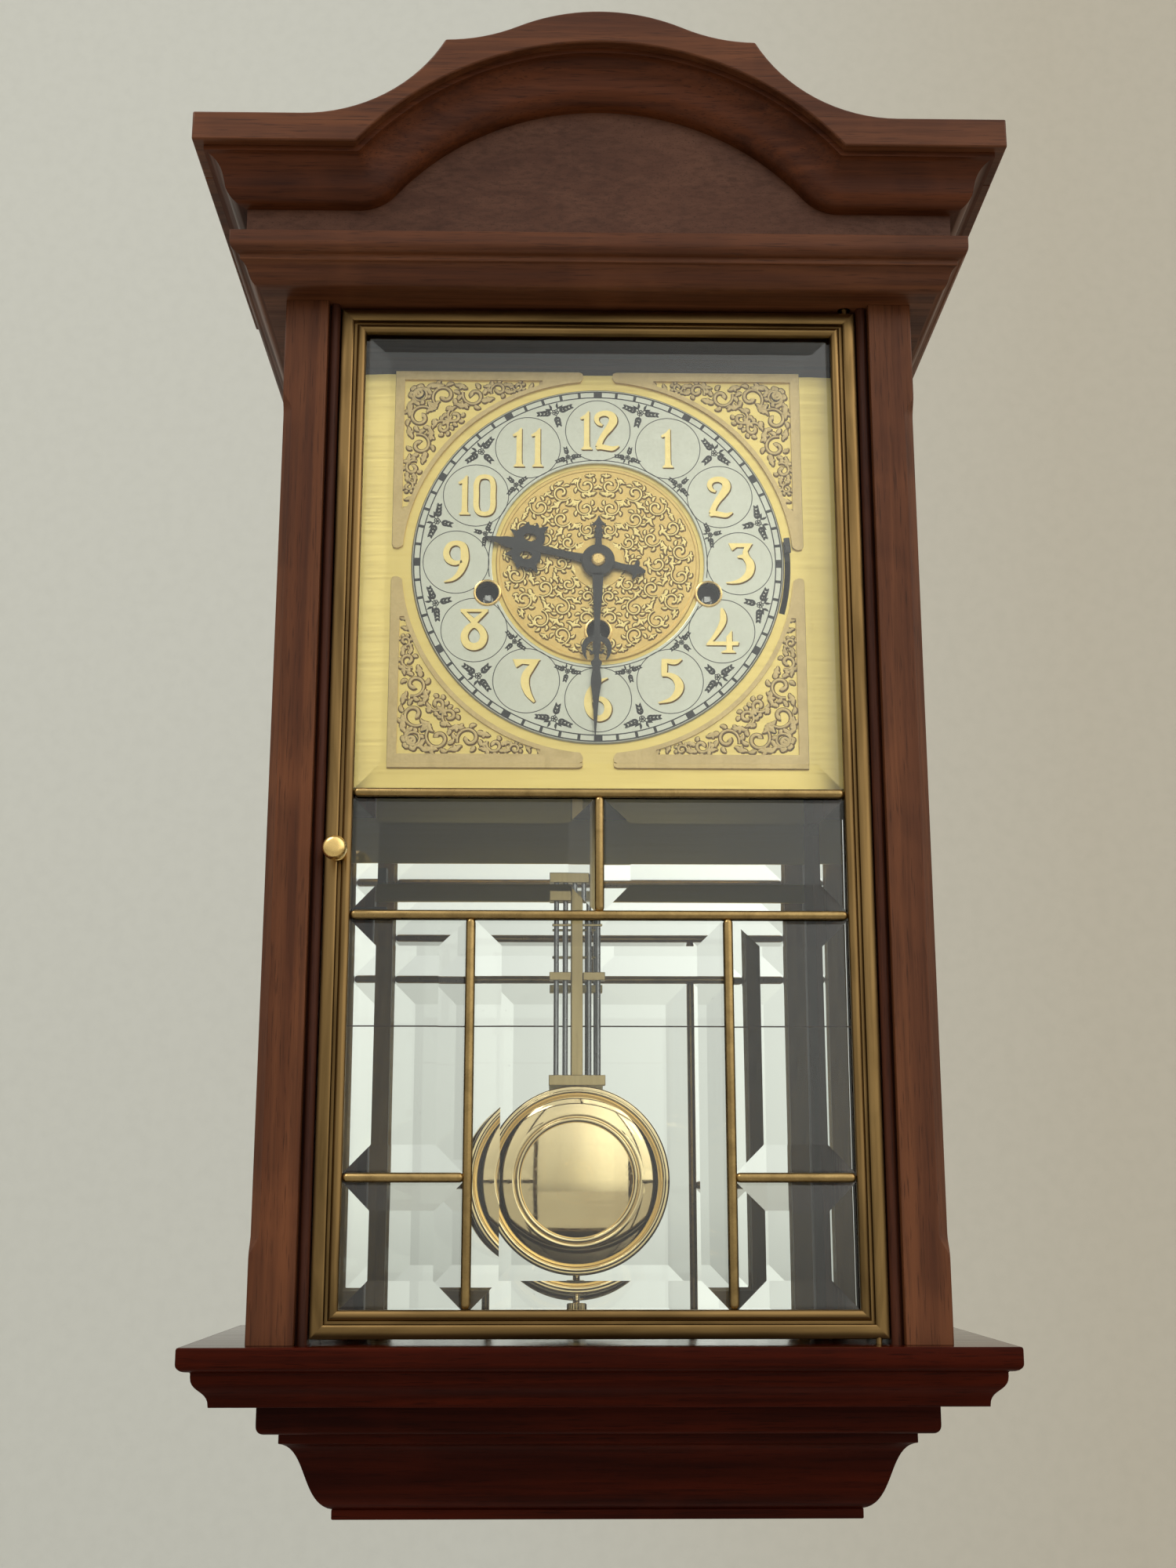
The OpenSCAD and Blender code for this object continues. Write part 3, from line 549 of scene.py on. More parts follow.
shoulder = (117.8, END_Z)
cusp = (61.7, END_Z + 33.3)
dome = (32.9, END_Z + 39.6)
right = bowed(dome, cusp, -69.9, 8) + bowed(cusp, shoulder, -63.8, 16)
outline = [(-x, z) for x, z in reversed(right)]
outline += bowed((-dome[0], dome[1]), dome, 79.9, 20) + right
outline += [(BOARD_HALF, END_Z), (BOARD_HALF, BOARD_Z)]
outline += arc((0, ARCH_Z), ARCH_R, 90 - TURN, 90 + TURN, 48)
outline += [(-BOARD_HALF, BOARD_Z), (-BOARD_HALF, END_Z)]
piece("pediment", prism(outline, -BOARD_OUT, box_mm("pediment_board")[3]), cherry_x, "case", "cherry",
      "pediment_board", bevel=0.7, segments=3)
piece("roof_board", block(*box_mm("top_board")), cherry_x, "case", "cherry", "top_board",
      bevel=0.7, segments=3)


# ---- door ----
DOOR_LOW = box_mm("door_frame")[4]
DOOR_TOP = box_mm("door_frame")[5]
DOOR_Y = box_mm("door_frame")[2]
RAIL_W = 10.2
LIGHT_HALF = DOOR_HALF - RAIL_W
LIGHT_LOW = DOOR_LOW + RAIL_W
LIGHT_TOP = DOOR_TOP - RAIL_W
PANE_Y = DOOR_Y + 2.4
PANE_T = 3.2
WEB = 0.4  # half the thickness of the bars' web between two panes
rail = [(0, 11), (0, 5), (0.25, 4.5), (0.8, 4.15), (2.6, 4), (4.4, 4.15), (4.9, 4.5), (5.2, 5.2),
        (5.2, 6.4), (6.2, 6.4)]
rail += arc((8.25, 5.95), 1.95, 185, 360, 12) + [(RAIL_W, 6.4), (8.7, 6.4), (8.7, 11)]


def frame_stick(upright, side):
    """One mitred member of the door frame; side is -1 for left or bottom, 1 for right or top."""
    rows = []
    for end in (-1, 1):
        right, up = (side, end) if upright else (end, side)
        rows.append([((DOOR_HALF - s) * right, y, DOOR_LOW + s if up < 0 else DOOR_TOP - s)
                     for s, y in rail])
    return loft(rows)


for name, upright, mat in (("door_stiles", True, brass_z), ("door_rails", False, brass_x)):
    shape = Shape(frame_stick(upright, -1), frame_stick(upright, 1))
    piece(name, shape, mat, "door", "door_brass", "door_frame", angle=30)


BAR_R = 1.8
BAR_STEP = BAR_R - 0.6  # a bar that meets another one starts this far from its centre line


def came(upright, start, end, level):
    """A half-round bar with rounded ends, front and back, and the web between the panes."""
    quarter = [pi / 2 * k / 5 for k in range(6)]
    stations = [(start + BAR_R - BAR_R * sin(t), BAR_R * cos(t)) for t in reversed(quarter)]
    stations += [(end - BAR_R + BAR_R * sin(t), BAR_R * cos(t)) for t in quarter]
    made = []
    for face, way in ((PANE_Y, -1), (PANE_Y + PANE_T, 1)):
        made.append(loft([[(along, face + way * lift, level + across)
                           for across, lift in arc((0, 0), max(size, 0.01), 0, 180, 10)]
                          for along, size in stations]))
    made.append(stick([(start, PANE_Y), (end, PANE_Y), (end, PANE_Y + PANE_T), (start, PANE_Y + PANE_T)],
                      level - WEB, level + WEB))
    if upright:
        made = [([(z, y, x) for x, y, z in verts], faces) for verts, faces in made]
    return made


BAR_X, BAR_HIGH, BAR_MID, BAR_LOW = 48.5, 202.8, 155.6, 58.6
shape = Shape()
for upright, start, end, level in (
    (False, -LIGHT_HALF, LIGHT_HALF, BAR_HIGH), (False, -LIGHT_HALF, LIGHT_HALF, BAR_MID),
    (True, BAR_MID + BAR_STEP, BAR_HIGH - BAR_STEP, 0), (True, LIGHT_LOW, BAR_MID - BAR_STEP, -BAR_X),
    (True, LIGHT_LOW, BAR_MID - BAR_STEP, BAR_X), (False, -LIGHT_HALF, -BAR_X - BAR_STEP, BAR_LOW),
    (False, BAR_X + BAR_STEP, LIGHT_HALF, BAR_LOW),
):
    for part in came(upright, start, end, level):
        shape.add(part)
piece("door_cames", shape, came_brass, "door", "door_brass", "door_bars", angle=35)


def pane(x0, x1, z0, z1, hidden):
    """A plate bevelled on its front; hidden gives the margin under left, right, bottom and top."""
    bevel, thin = 10.0, 2.2
    left, right, low, high = hidden
    inner = (x0 + bevel + left, x1 - bevel - right, z0 + bevel + low, z1 - bevel - high)
    outer = (x0, x1, z0, z1)
    rows = [[(a, y, c), (b, y, c), (b, y, d), (a, y, d)]
            for (a, b, c, d), y in ((outer, PANE_Y + PANE_T), (outer, PANE_Y + thin), (inner, PANE_Y))]
    return loft(rows)


BAR, LIP = BAR_R - WEB, 1.5  # margins under a bar and under the frame's lip
EDGE = LIGHT_HALF + LIP
LEFT, RIGHT = (-EDGE, -BAR_X - WEB), (BAR_X + WEB, EDGE)
UPPER, LOWER = (BAR_LOW + WEB, BAR_MID - WEB), (LIGHT_LOW - LIP, BAR_LOW - WEB)
MIDDLE = (BAR_MID + WEB, BAR_HIGH - WEB)
panes = {
    "pane_top": [(-EDGE, EDGE, BAR_HIGH + WEB, LIGHT_TOP + LIP, (LIP, LIP, BAR, LIP))],
    "pane_centre": [(-BAR_X + WEB, BAR_X - WEB, LIGHT_LOW - LIP, BAR_MID - WEB, (BAR, BAR, LIP, BAR))],
    "panes_middle": [(WEB, EDGE, *MIDDLE, (BAR, LIP, BAR, BAR)),
                     (-EDGE, -WEB, *MIDDLE, (LIP, BAR, BAR, BAR))],
    "panes_side": [(*RIGHT, *UPPER, (BAR, LIP, BAR, BAR)), (*RIGHT, *LOWER, (BAR, LIP, LIP, BAR)),
                   (*LEFT, *UPPER, (LIP, BAR, BAR, BAR)), (*LEFT, *LOWER, (LIP, BAR, LIP, BAR))],
}
for name, plates in panes.items():
    shape = Shape(*[pane(*plate) for plate in plates])
    piece("bevelled_" + name, shape, glass, "door", "glass", name, flat=True)

kx0, kx1, tip, _, kz0, kz1 = box_mm("door_knob")
knob = [(0, tip), (2.4, tip + 0.1), (3.7, tip + 0.7), (4.4, tip + 2), (4.6, tip + 3.6), (4.3, tip + 5),
        (3.2, tip + 6.6), (2.2, tip + 7.6), (2.0, tip + 9)]
knob = smooth(knob, 4) + [(2.1, 2.4), (3.0, 3.0), (3.2, 4.0), (0, 4.0)]
piece("pull_knob", turned(knob, ((kx0 + kx1) / 2, (kz0 + kz1) / 2)), knob_brass, "door", "door_brass",
      "door_knob")


# ---- dial ----
DZ = 302.2
DIAL = (0.0, DZ)
RING_Y = box_mm("chapter_ring")[2]
DISC_Y = box_mm("centre_disc")[2]
PLATE_Y = box_mm("dial_plate")[2]


def polar(radius, clock):
    """The (x, z) offset at a radius and an angle clockwise from 12."""
    a = radians(clock)
    return radius * sin(a), radius * cos(a)


def on_dial(radius, clock):
    """The (x, z) point at a radius and a clock angle on the dial."""
    x, z = polar(radius, clock)
    return x, DZ + z


def circle(x, z, radius, width, y, height, n):
    """A raised ring on the plane at depth y."""
    points = [(*spot, width) for spot in arc((x, z), radius, 0, 360, n)[:-1]]
    return ribbon(points, y, height, 0, False, True)


def spiral(x, z, radius, start, hand, width):
    """A scroll winding inwards to a small bud."""
    points = []
    for i in range(19):
        t = i / 18
        a = radians(start + hand * 400 * t)
        r = radius * (1 - 0.84 * t ** 0.9)
        w = width * (0.7 + 0.6 * t) if t < 0.88 else width * 1.6
        points.append((x + r * cos(a), z + r * sin(a), w))
    return points


def leaf(x, z, angle, length, bend, width):
    """A short leaf from a point, curling by bend degrees along its length."""
    points = []
    a = radians(angle)
    step = length / 5
    for share in (0.4, 0.85, 1.0, 0.85, 0.5, 0.08):
        points.append((x, z, width * share))
        x += step * cos(a)
        z += step * sin(a)
        a += radians(bend) / 5
    return points


def scroll(x, z, radius, start, hand, width):
    """A spiral with leaves growing from its outer turn."""
    lines = [spiral(x, z, radius, start, hand, width)]
    for i in range(6):
        a = start + hand * (20 + 48 * i)
        r = radius * (1 - 0.06 * i)
        lines.append(leaf(x + r * cos(radians(a)), z + r * sin(radians(a)), a + hand * 25,
                          radius * 0.6, hand * 95, width * 1.5))
    return lines


def sprig(x, z, angle, length, width):
    """Two leaves curling apart and one between them."""
    return [leaf(x, z, angle + 30, length, 105, width), leaf(x, z, angle - 30, length, -105, width),
            leaf(x, z, angle, length * 0.8, 0.1, width)]


ring = [(43, 26), (43, RING_Y + 0.2), (43.3, RING_Y), (75, RING_Y), (75.5, RING_Y + 0.5), (75.5, 26)]
band = piece("chapter_band", turned(ring, DIAL, n=144, closed=True), silvered, "case", "silvered",
             "chapter_ring")
holes = [(-44.6, DZ - 13), (0.0, DZ - 29), (44.6, DZ - 13)]
openings = Shape(*[turned([(0, 20), (5.55, 20), (5.55, 29), (0, 29)], hole, n=48) for hole in holes])
cut(band, openings)


def near_hole(x, z):
    """The distance to the nearest winding hole's centre."""
    return min(hypot(x - h, z - v) for h, v in holes)


def runs_clear(points, test):
    """The parts of a line, of three points or more, whose points pass a test."""
    runs = [(passed, list(run)) for passed, run in groupby(points, lambda p: test(p[0], p[1]))]
    return [run for passed, run in runs if passed and len(run) > 2]


NUMERAL_R = 57.4
MINUTE_R = 73.25


def engraved(points, steps):
    """Adds one fine line to the dial's print."""
    dial_print.add(ribbon(points, RING_Y, 0.03, steps))


dial_print = Shape()
for radius, width in ((72.0, 0.46), (74.5, 0.56), (44.3, 0.36)):
    points = [(*on_dial(radius, 2 * k), width) for k in range(181)]
    for run in runs_clear(points, lambda x, z: near_hole(x, z) > 5.4):
        dial_print.add(ribbon(run, RING_Y, 0.04, 0))
for minute in range(60):
    turn = degrees((1.7 if minute % 5 == 0 else 0.58) / 73.2)
    points = [(*on_dial(MINUTE_R, 6 * minute + turn * k / 2), 2.4) for k in range(-2, 3)]
    dial_print.add(ribbon(points, RING_Y, 0.05, 0))
for hour in range(12):
    dial_print.add(circle(*on_dial(NUMERAL_R, 30 * hour), 13.3, 0.32, RING_Y, 0.045, 60))
for clock in range(15, 360, 30):
    for radius, size, out in ((67.6, 1.0, 90 - clock), (47.3, 0.72, 270 - clock)):
        x, z = on_dial(radius, clock)
        if near_hole(x, z) < 7:
            continue
        for k in range(5):
            petal = (x + 0.75 * size * cos(1.26 * k), z + 0.75 * size * sin(1.26 * k))
            dial_print.add(circle(*petal, 0.52 * size, 0.4, RING_Y, 0.03, 10))
        for branch, reach, count in ((82, 6.4, 4), (-82, 6.4, 4), (180, 5.0, 3), (40, 2.2, 1), (-40, 2.2, 1)):
            a = radians(out + branch)
            bx, bz = x + 1.1 * size * cos(a), z + 1.1 * size * sin(a)
            engraved(leaf(bx, bz, out + branch, reach * size, copysign(30, -branch), 0.46), 2)
            for k in range(count):
                t = (k + 0.6) / (count + 0.3) * reach * size
                stem = (bx + t * cos(a), bz + t * sin(a))
                for lean in (48, -48):
                    engraved(leaf(*stem, out + branch + lean, (2.6 - 0.3 * k) * size, -lean, 1.02 * size), 1)
piece("dial_print", dial_print, ink, "case", "black_paint")

ZERO = [(3.4, -4.6, 2.2), (3.4, 0, 2.2), (3.4, 4.6, 2.2), (2.4, 7.3, 2), (0, 8.1, 1.8),
        (-2.4, 7.3, 2)]
ONE = [(-2.2, -8.5), (2.2, -8.5), (2.2, -8.1), (1.25, -7.2), (1.1, -4.5), (1.1, 8.5), (0.6, 8.5),
       (-0.7, 6.9), (-2.7, 5.5), (-2.4, 4.7), (-1.1, 5.1), (-1.1, -4.5), (-1.25, -7.2), (-2.2, -8.1)]
TWO = [(-1.6, 2.2, 0.8), (-3.2, 3, 1.5), (-4.1, 4.9, 2), (-3.2, 6.8, 2.2), (-0.5, 7.6, 2.3),
       (2.1, 6.6, 3), (2.8, 4.2, 3.4), (1.3, 1.3, 3), (-0.8, -1.6, 2.4), (-2.4, -4.5, 2.2),
       (-3.3, -7.2, 2.6)]
TWO_FOOT = [(-4.2, -8.1, 1), (-2.2, -7.3, 2.1), (0.2, -7.7, 2.1), (2.4, -8, 1.9), (4.2, -7.3, 1.1),
            (5.1, -6.7, 0.4)]
# Each stroke is an outline of (x, z) points or a line of (x, z, width) points; the last stroke
# of a digit in CLOSED is a closed line.
GLYPHS = {
    "0": [ZERO + [(-x, -z, w) for x, z, w in ZERO]],
    "1": [ONE],
    "2": [TWO, TWO_FOOT],
    "3": [[(-4.5, 8.6), (5.3, 8.6), (2.6, 4.1), (1.3, 4.9), (1.9, 6.9), (-1.2, 6.9), (-3, 5.4)],
          [(-0.9, 2.7, 0.6), (1.6, 2.9, 2), (3.7, 0.9, 3.2), (4.3, -1.7, 3.4), (3.3, -4.8, 3),
           (0.4, -7.2, 2), (-2.7, -8.1, 1.1), (-5.6, -8.3, 0.4)],
          [(2.2, 5.2, 2), (2.7, 3, 2.4), (3.5, 1.2, 3)]],
    "4": [[(0, 9.6, 0.9), (0.5, 7.2, 2.2), (0.5, 4.3, 2.6), (-0.9, 1.1, 2.2), (-3.6, -3, 1.5),
           (-6, -5.6, 0.8)],
          [(-6.6, -6), (6.4, -6), (6.7, -4.4), (-4.6, -4.4)],
          [(1.7, -2.4), (4, 0.4), (4, -7.8), (5.3, -8.7), (5.3, -9.1), (-0.4, -9.1), (-0.4, -8.7),
           (1.7, -7.8)]],
    "5": [[(-3.3, 8.9, 0.6), (-1, 8.3, 1.8), (2.2, 8, 2), (4.7, 9.2, 0.5)],
          [(-2.3, 8.9, 2), (-2.3, 5.8, 2.4), (-2.4, 2.4, 2)],
          [(-3.3, 2.4, 0.9), (-0.6, 2.6, 1.8), (2.1, 1.2, 2.7), (3.6, -1.7, 3.4), (2.9, -4.8, 3),
           (0.1, -7.6, 1.8), (-4.7, -9, 0.5)]],
    "6": [[(3.8, 8.9, 0.4), (0.6, 7.4, 1.4), (-2.7, 4, 2.6), (-4, -0.4, 3.2), (-3.3, -4.9, 3),
           (-0.2, -7.8, 2.4), (2.8, -6.7, 2.8), (3.9, -3.7, 3), (2.7, -0.8, 2.4), (0, 0.4, 1.8),
           (-2.4, -0.9, 1.2)]],
    "7": [[(-5.4, 8.8), (5.6, 8.8), (3.6, 6.4), (-1.6, 6.9), (-4, 5.3)],
          [(4.3, 8, 1.2), (1.9, 5.3, 2.6), (-0.2, 2, 3.2), (-0.4, -1.7, 3.2), (0.9, -5.5, 2.4),
           (3.3, -8.9, 0.8)]],
    "8": [[(-5.5, 8.1, 1.1), (0, 8.1, 1.2), (5.5, 8.1, 1.1)],
          [(-4.9, 8.1, 1.3), (-1.6, 4.9, 1.9), (0.8, 2.6, 2.4)],
          [(4.9, 8.1, 1.3), (1.6, 4.9, 1.9), (-0.8, 2.6, 2.4)],
          [(0, 2, 2.4), (2.5, 0.5, 2.6), (3.9, -2.6, 2.9), (2.9, -5.8, 3), (0, -7.1, 3),
           (-2.9, -5.8, 3), (-3.9, -2.6, 2.9), (-2.5, 0.5, 2.6)]],
    "9": [[(2.4, 0.2, 1), (-0.5, -0.5, 2), (-3.2, 1.1, 2.6), (-4, 4.2, 2.4), (-2.6, 7.1, 2.2),
           (0.2, 8, 2), (2.7, 6.8, 2.8), (3.4, 3.8, 3.2), (3.3, 0, 3.2), (1.7, -4.4, 2.4),
           (-1, -7.3, 1.5), (-4.7, -8.6, 0.4)]],
}
CLOSED = "08"
OFFSETS = {"10": (-4.6, 3.5), "11": (-3.6, 4.0), "12": (-4.6, 3.5)}


def stroke(line, x, z, grow, height, loop):
    """One stroke of a digit, moved to (x, z) and made wider by grow."""
    if len(line[0]) == 2:
        return prism([(x + a, z + b) for a, b in line], RING_Y, RING_Y - height)
    return ribbon([(x + a, z + b, w + grow) for a, b, w in line], RING_Y, height, 5, False, loop)


def numeral(text, x, z):
    """A raised numeral, with a painted shadow: a darker, wider copy of its strokes that shows below and to
    the right of it.
    """
    for digit, shift in zip(text, OFFSETS.get(text, (0,))):
        strokes = GLYPHS[digit]
        for order, line in enumerate(strokes):
            loop = digit in CLOSED and line is strokes[-1]
            lift = 0.012 * order
            slip = 0.36 if len(line[0]) == 2 else 0.26
            raised.add(stroke(line, x + shift, z, 0, 0.5 + lift, loop))
            # painted shadow: the strokes again, wider, darker and shifted right and down
            shadow_edge.add(stroke(line, x + shift + slip, z - slip - 0.02, 0.45, 0.2 + lift, loop))


raised, shadow_edge = Shape(), Shape()
for hour in range(1, 13):
    numeral(str(hour), *on_dial(NUMERAL_R, 30 * hour))
piece("numerals", raised, gilt_raised, "case", "gilt", angle=20)
piece("numeral_shadow_edges", shadow_edge, gilt_painted_shade, "case", "gilt", angle=20)

# Centre disc: its recessed field carries the scrolls
FIELD_Y = DISC_Y + 0.25
disc = [(4.5, 26), (4.5, DISC_Y + 0.2), (4.8, DISC_Y), (10.6, DISC_Y), (10.8, FIELD_Y), (39.7, FIELD_Y),
        (39.9, DISC_Y), (41, DISC_Y), (41.3, DISC_Y + 0.3), (41.3, 26)]
disc = turned(disc, DIAL, n=128, closed=True)
cut(piece("centre_plate", disc, gilt_warm, "case", "gilt", "centre_disc"), openings)

lines = []
for radius, size, count, shift in ((33.8, 4.2, 10, 8), (24.1, 4, 7, 12), (15, 3.3, 5, 17)):
    for i in range(count):
        clock = shift + (180 - 2 * shift) / (count - 1) * i
        x, z = polar(radius, clock)
        lines += scroll(x, z, size, 60 - clock + 180 * (i % 2), 1 if i % 2 else -1, 0.75)
for radius, length, count, width in ((28.9, 3.9, 13, 1.15), (19.4, 3.3, 9, 1.1), (11.2, 2.7, 6, 1),
                                     (37, 2.6, 18, 0.9)):
    for i in range(count):
        clock = 180 * (i + 0.5) / count
        lines += sprig(*polar(radius, clock), 90 - clock + (180 if i % 2 else 0), length, width)


def on_field(x, z):
    """Whether a point is on the disc's field, clear of the winding holes."""
    return hypot(x, z - DZ) < 39.3 and near_hole(x, z) > 6.3


# Each scroll is a ridge over a wider, darker line shifted down and to the right as painted shade, drawn on
# both halves of the disc.
shade, ridge = Shape(), Shape()
for line in lines:
    line = smooth(line, 2)
    for side in (-1, 1):
        points = [(side * x, z + DZ, w) for x, z, w in line if x > -0.2]
        for run in runs_clear(points, on_field):
            lift = 0.0006 * (len(ridge.faces) % 40)
            # painted shade: a wider dark line shifted right and down under the ridge
            wide = [(x + 0.1, z - 0.12, w + 0.95) for x, z, w in run]
            shade.add(ribbon(wide, FIELD_Y, 0.06 + lift, 0))
            ridge.add(ribbon(run, FIELD_Y, 0.34 + lift, 0, True))
piece("centre_scroll_shade", shade, gilt_painted_shade, "case", "gilt")
piece("centre_border", circle(*DIAL, 40.45, 0.8, DISC_Y, 0.04, 128), gilt_warm, "case", "gilt")
piece("centre_scrolls", ridge, gilt_raised, "case", "gilt", angle=50)

# Four pierced corner ornaments: one half of one corner, mirrored about its diagonal
HALF = 83.5
corner = []
for x, z, radius, start, hand in (
    (63.4, 73, 5.6, 300, 1), (51.2, 73.2, 5, 20, -1), (41, 75.9, 3.5, 330, 1),
    (33, 77.5, 2.4, 20, -1), (73.8, 73.8, 3.4, 225, 1), (59, 64, 3.6, 80, -1),
):
    corner += scroll(x, z, radius, start, hand, 1.0 if radius > 3 else 0.8)
for x, z, angle, length in (
    (75.6, 75.6, 225, 4.6), (66.9, 66.9, 45, 4.8), (61.2, 61.2, 45, 3.6), (69, 78.6, 250, 3.4),
    (56.2, 78.4, 290, 3.6), (56.4, 67.6, 95, 4.2), (45.2, 70.4, 80, 3.4), (45, 78.4, 270, 3),
    (36.9, 74.2, 100, 2.6), (36.8, 78.9, 270, 2.4), (28.6, 77, 190, 3), (24.2, 78.4, 190, 2.4),
    (78.6, 66.4, 190, 3.6), (66.4, 60.2, 20, 3),
):
    corner += sprig(x, z, angle, length, 1.5 if length > 3 else 1.1)


def spandrel_frame():
    """The pierced plate's border: straight outer bands, an arc inside and rounded arm ends."""
    tip, start, band = 7.6, 23.0, HALF - 3.8
    outer = [(tip + (HALF - tip) * k / 20, HALF) for k in range(21)]
    outer += [(HALF, HALF + (tip - HALF) * k / 20) for k in range(1, 21)]
    outer += [(82.9, 6.3), (81.4, 6.0), (80.0, 6.6)]
    first = degrees(asin(6.0 / 79.5)) + 1.0
    outer += arc((0, 0), 79.5, first, 90 - first, 40) + [(6.6, 80.0), (6.0, 81.4), (6.3, 82.9)]
    inner = [(start + (band - start) * k / 20, band) for k in range(21)]
    inner += [(band, band + (start - band) * k / 20) for k in range(1, 21)] + [(band, start)] * 3
    first = degrees(asin(22.9 / 81.2))
    inner += arc((0, 0), 81.2, first, 90 - first, 40) + [(start, band)] * 3
    top = PLATE_Y - 1.2
    rows = [[(x, PLATE_Y, z) for x, z in outer], [(x, PLATE_Y - 1.0, z) for x, z in outer],
            [(x * 0.9985, top, z * 0.9985) for x, z in outer], [(x, top, z) for x, z in inner],
            [(x, PLATE_Y, z) for x, z in inner]]
    return loft(rows + rows[:1], True, False)


def within(x, z):
    """Whether a point is inside the pierced plate's border."""
    return x < 80.6 and z < 80.6 and hypot(x, z) > 80.3 and min(x, z) > 20


shape, shade = Shape(), Shape()
for sx in (-1, 1):
    for sz in (-1, 1):
        shape.add(spandrel_frame(), 0, lambda x, y, z: (sx * x, y, DZ + sz * z))
        for order, line in enumerate(corner):
            line = smooth(line, 2)
            for swap in (False, True):
                points = [(z, x, w) if swap else (x, z, w) for x, z, w in line]
                for run in runs_clear(points, within):
                    run = [(sx * x, DZ + sz * z, 1.2 * w) for x, z, w in run]
                    shape.add(ribbon(run, PLATE_Y, 0.45 + 0.004 * (order % 30), 0, True))
                    # painted shade: a wider dark line shifted right and down under each scroll
                    run = [(x + 0.14, z - 0.18, w + 0.8) for x, z, w in run]
                    shade.add(ribbon(run, PLATE_Y, 0.06 + 0.001 * (order % 30), 0))
piece("corner_ornaments", shape, bronze, "case", "spandrel_bronze", "dial_spandrels", angle=50)
piece("corner_shade", shade, gilt_painted_shade, "case", "spandrel_bronze")


# Winding holes: brass eyelets, black tubes behind them that paint the shade inside the holes, and the barrels
# with their arbors
def at_holes(profile):
    """The same turned ring at each winding hole."""
    return Shape(*[turned(profile, hole, n=48, closed=True) for hole in holes])


eyelet = [(4.5, 27.5), (4.5, 24.4), (4.7, 24), (5.1, 23.9), (5.5, 24.1), (5.65, 24.6), (5.65, 27.5)]
piece("winding_eyelets", at_holes(eyelet), knob_brass, "case", "movement_brass", "winding_grommets")
# painted shade: black tube and washer where the holes would be dark inside
shade_tube = [(4.6, 25.2), (4.4, 25.2), (4.4, 27.5), (5.6, 27.7), (5.6, 33.4), (2.1, 33.4), (2.1, 33.8),
        (5.9, 33.8), (5.9, 27.6), (4.6, 27.4)]
piece("winding_shade_tubes", at_holes(shade_tube), black, "case", "black_paint")
drum = [(3, 44), (22.4, 44), (22.8, 44.3), (22.8, 45.2), (22.4, 45.5), (21, 45.5), (21, 46.3),
        (21.5, 46.6), (21.5, 61.5), (21, 62), (3, 62)]
shaft = [(0, 34.1), (2.7, 34.1), (3, 34.4), (3, 79.6), (2.6, 80), (0, 80)]
for body, (x, z) in zip(("strike_barrel", "time_barrel", "chime_barrel"), holes):
    piece(body.replace("barrel", "drum"), turned(drum, (x, z), n=96, closed=True), move_brass, body,
          "movement_brass", body)
    arbor = Shape(turned(shaft, (x, z), n=40), block(x - 1.3, x + 1.3, 31.4, 34.4, z - 1.3, z + 1.3))
    piece(body.replace("barrel", "arbor"), arbor, bright_steel, body, "steel", bevel=0.12)


def sector(r0, r1, start, end, y0, y1):
    """Part of a flat ring about the dial centre; angles counter-clockwise from 3 o'clock."""
    return prism(arc(DIAL, r1, start, end) + arc(DIAL, r0, end, start), y0, y1)


lift = degrees(asin((box_mm("chime_lever")[5] - DZ) / 80.5)) - 4
shape = Shape(sector(73.5, 80.5, lift - 4, lift + 4, 27.9, 29.2),
              sector(76.2, 77.8, lift - 1.2, lift + 1.2, 23.3, 28.4),
              sector(75.9, 78.3, lift - 2.4, lift + 2.4, 22.7, 23.5))
piece("silent_lever", shape, black, "lever", "black_paint", "chime_lever", bevel=0.25)


# ---- hands ----
def hand(name, lines, loops, plates, bore, clock, body):
    """A flat hand drawn pointing up, then turned to its clock angle. Lines and loops off the
    centre line are mirrored."""
    y, back = box_mm(body + "_hand")[2:4]
    c, s = cos(radians(clock)), sin(radians(clock))
    hub = [(bore, back), (bore, y), (6.4, y), (6.7, y + 0.25), (6.7, back)]
    parts = [turned(hub, (0, 0), n=64, closed=True)]
    for order, line in enumerate(lines):
        for side in (-1, 1) if any(x for x, z, w in line) else (1,):
            parts.append(ribbon([(side * x, z, w) for x, z, w in line], back, back - y - 0.004 * order))
    for line in loops:
        for side in (-1, 1):
            mirrored = [(side * x, z, w) for x, z, w in line]
            parts.append(ribbon(mirrored, back, back - y - 0.06, closed=True))
    parts += [prism(plate, y + 0.01, back) for plate in plates]
    made = Shape()
    for part in parts:
        made.add(part, 0, lambda x, y, z: (x * c + z * s, y, DZ - x * s + z * c))
    piece(name, made, black, body, "black_paint", body + "_hand", angle=30)


minute_lines = [
    [(0, 5.5, 4.4), (0, 9, 4.2), (0, 17, 3.4), (0, 25, 2.4), (0, 31, 2.6), (0, 36, 3.2), (0, 41, 1.8),
     (0, 43, 4.4), (0, 45.5, 3), (0, 51, 4.2), (0, 58, 2.4), (0, 66, 1.4), (0, 74, 0.3)],
    [(0, -5.5, 3), (0, -9, 2.5), (0, -10.6, 3.7), (0, -11.6, 2.5), (0, -12.8, 3.5), (0, -14, 2.3),
     (0, -15.6, 2.2)],
    [(0.4, 33, 1.4), (3.4, 33.8, 2.4), (5, 36.6, 2), (4.8, 39.6, 1.2), (3.8, 41.8, 0.3)],
    [(0.4, 38.4, 1.2), (2, 38.9, 1.1), (3, 37.6, 0.5)],
]
spear = [(-3.3, -14.6), (-1.2, -15), (1.2, -15), (3.3, -14.6), (1.3, -16.6), (0.9, -17.2), (0, -19.2),
         (-0.9, -17.2), (-1.3, -16.6)]
hand("minute_pointer", minute_lines, [], [spear], 2.0, 181, "minute")

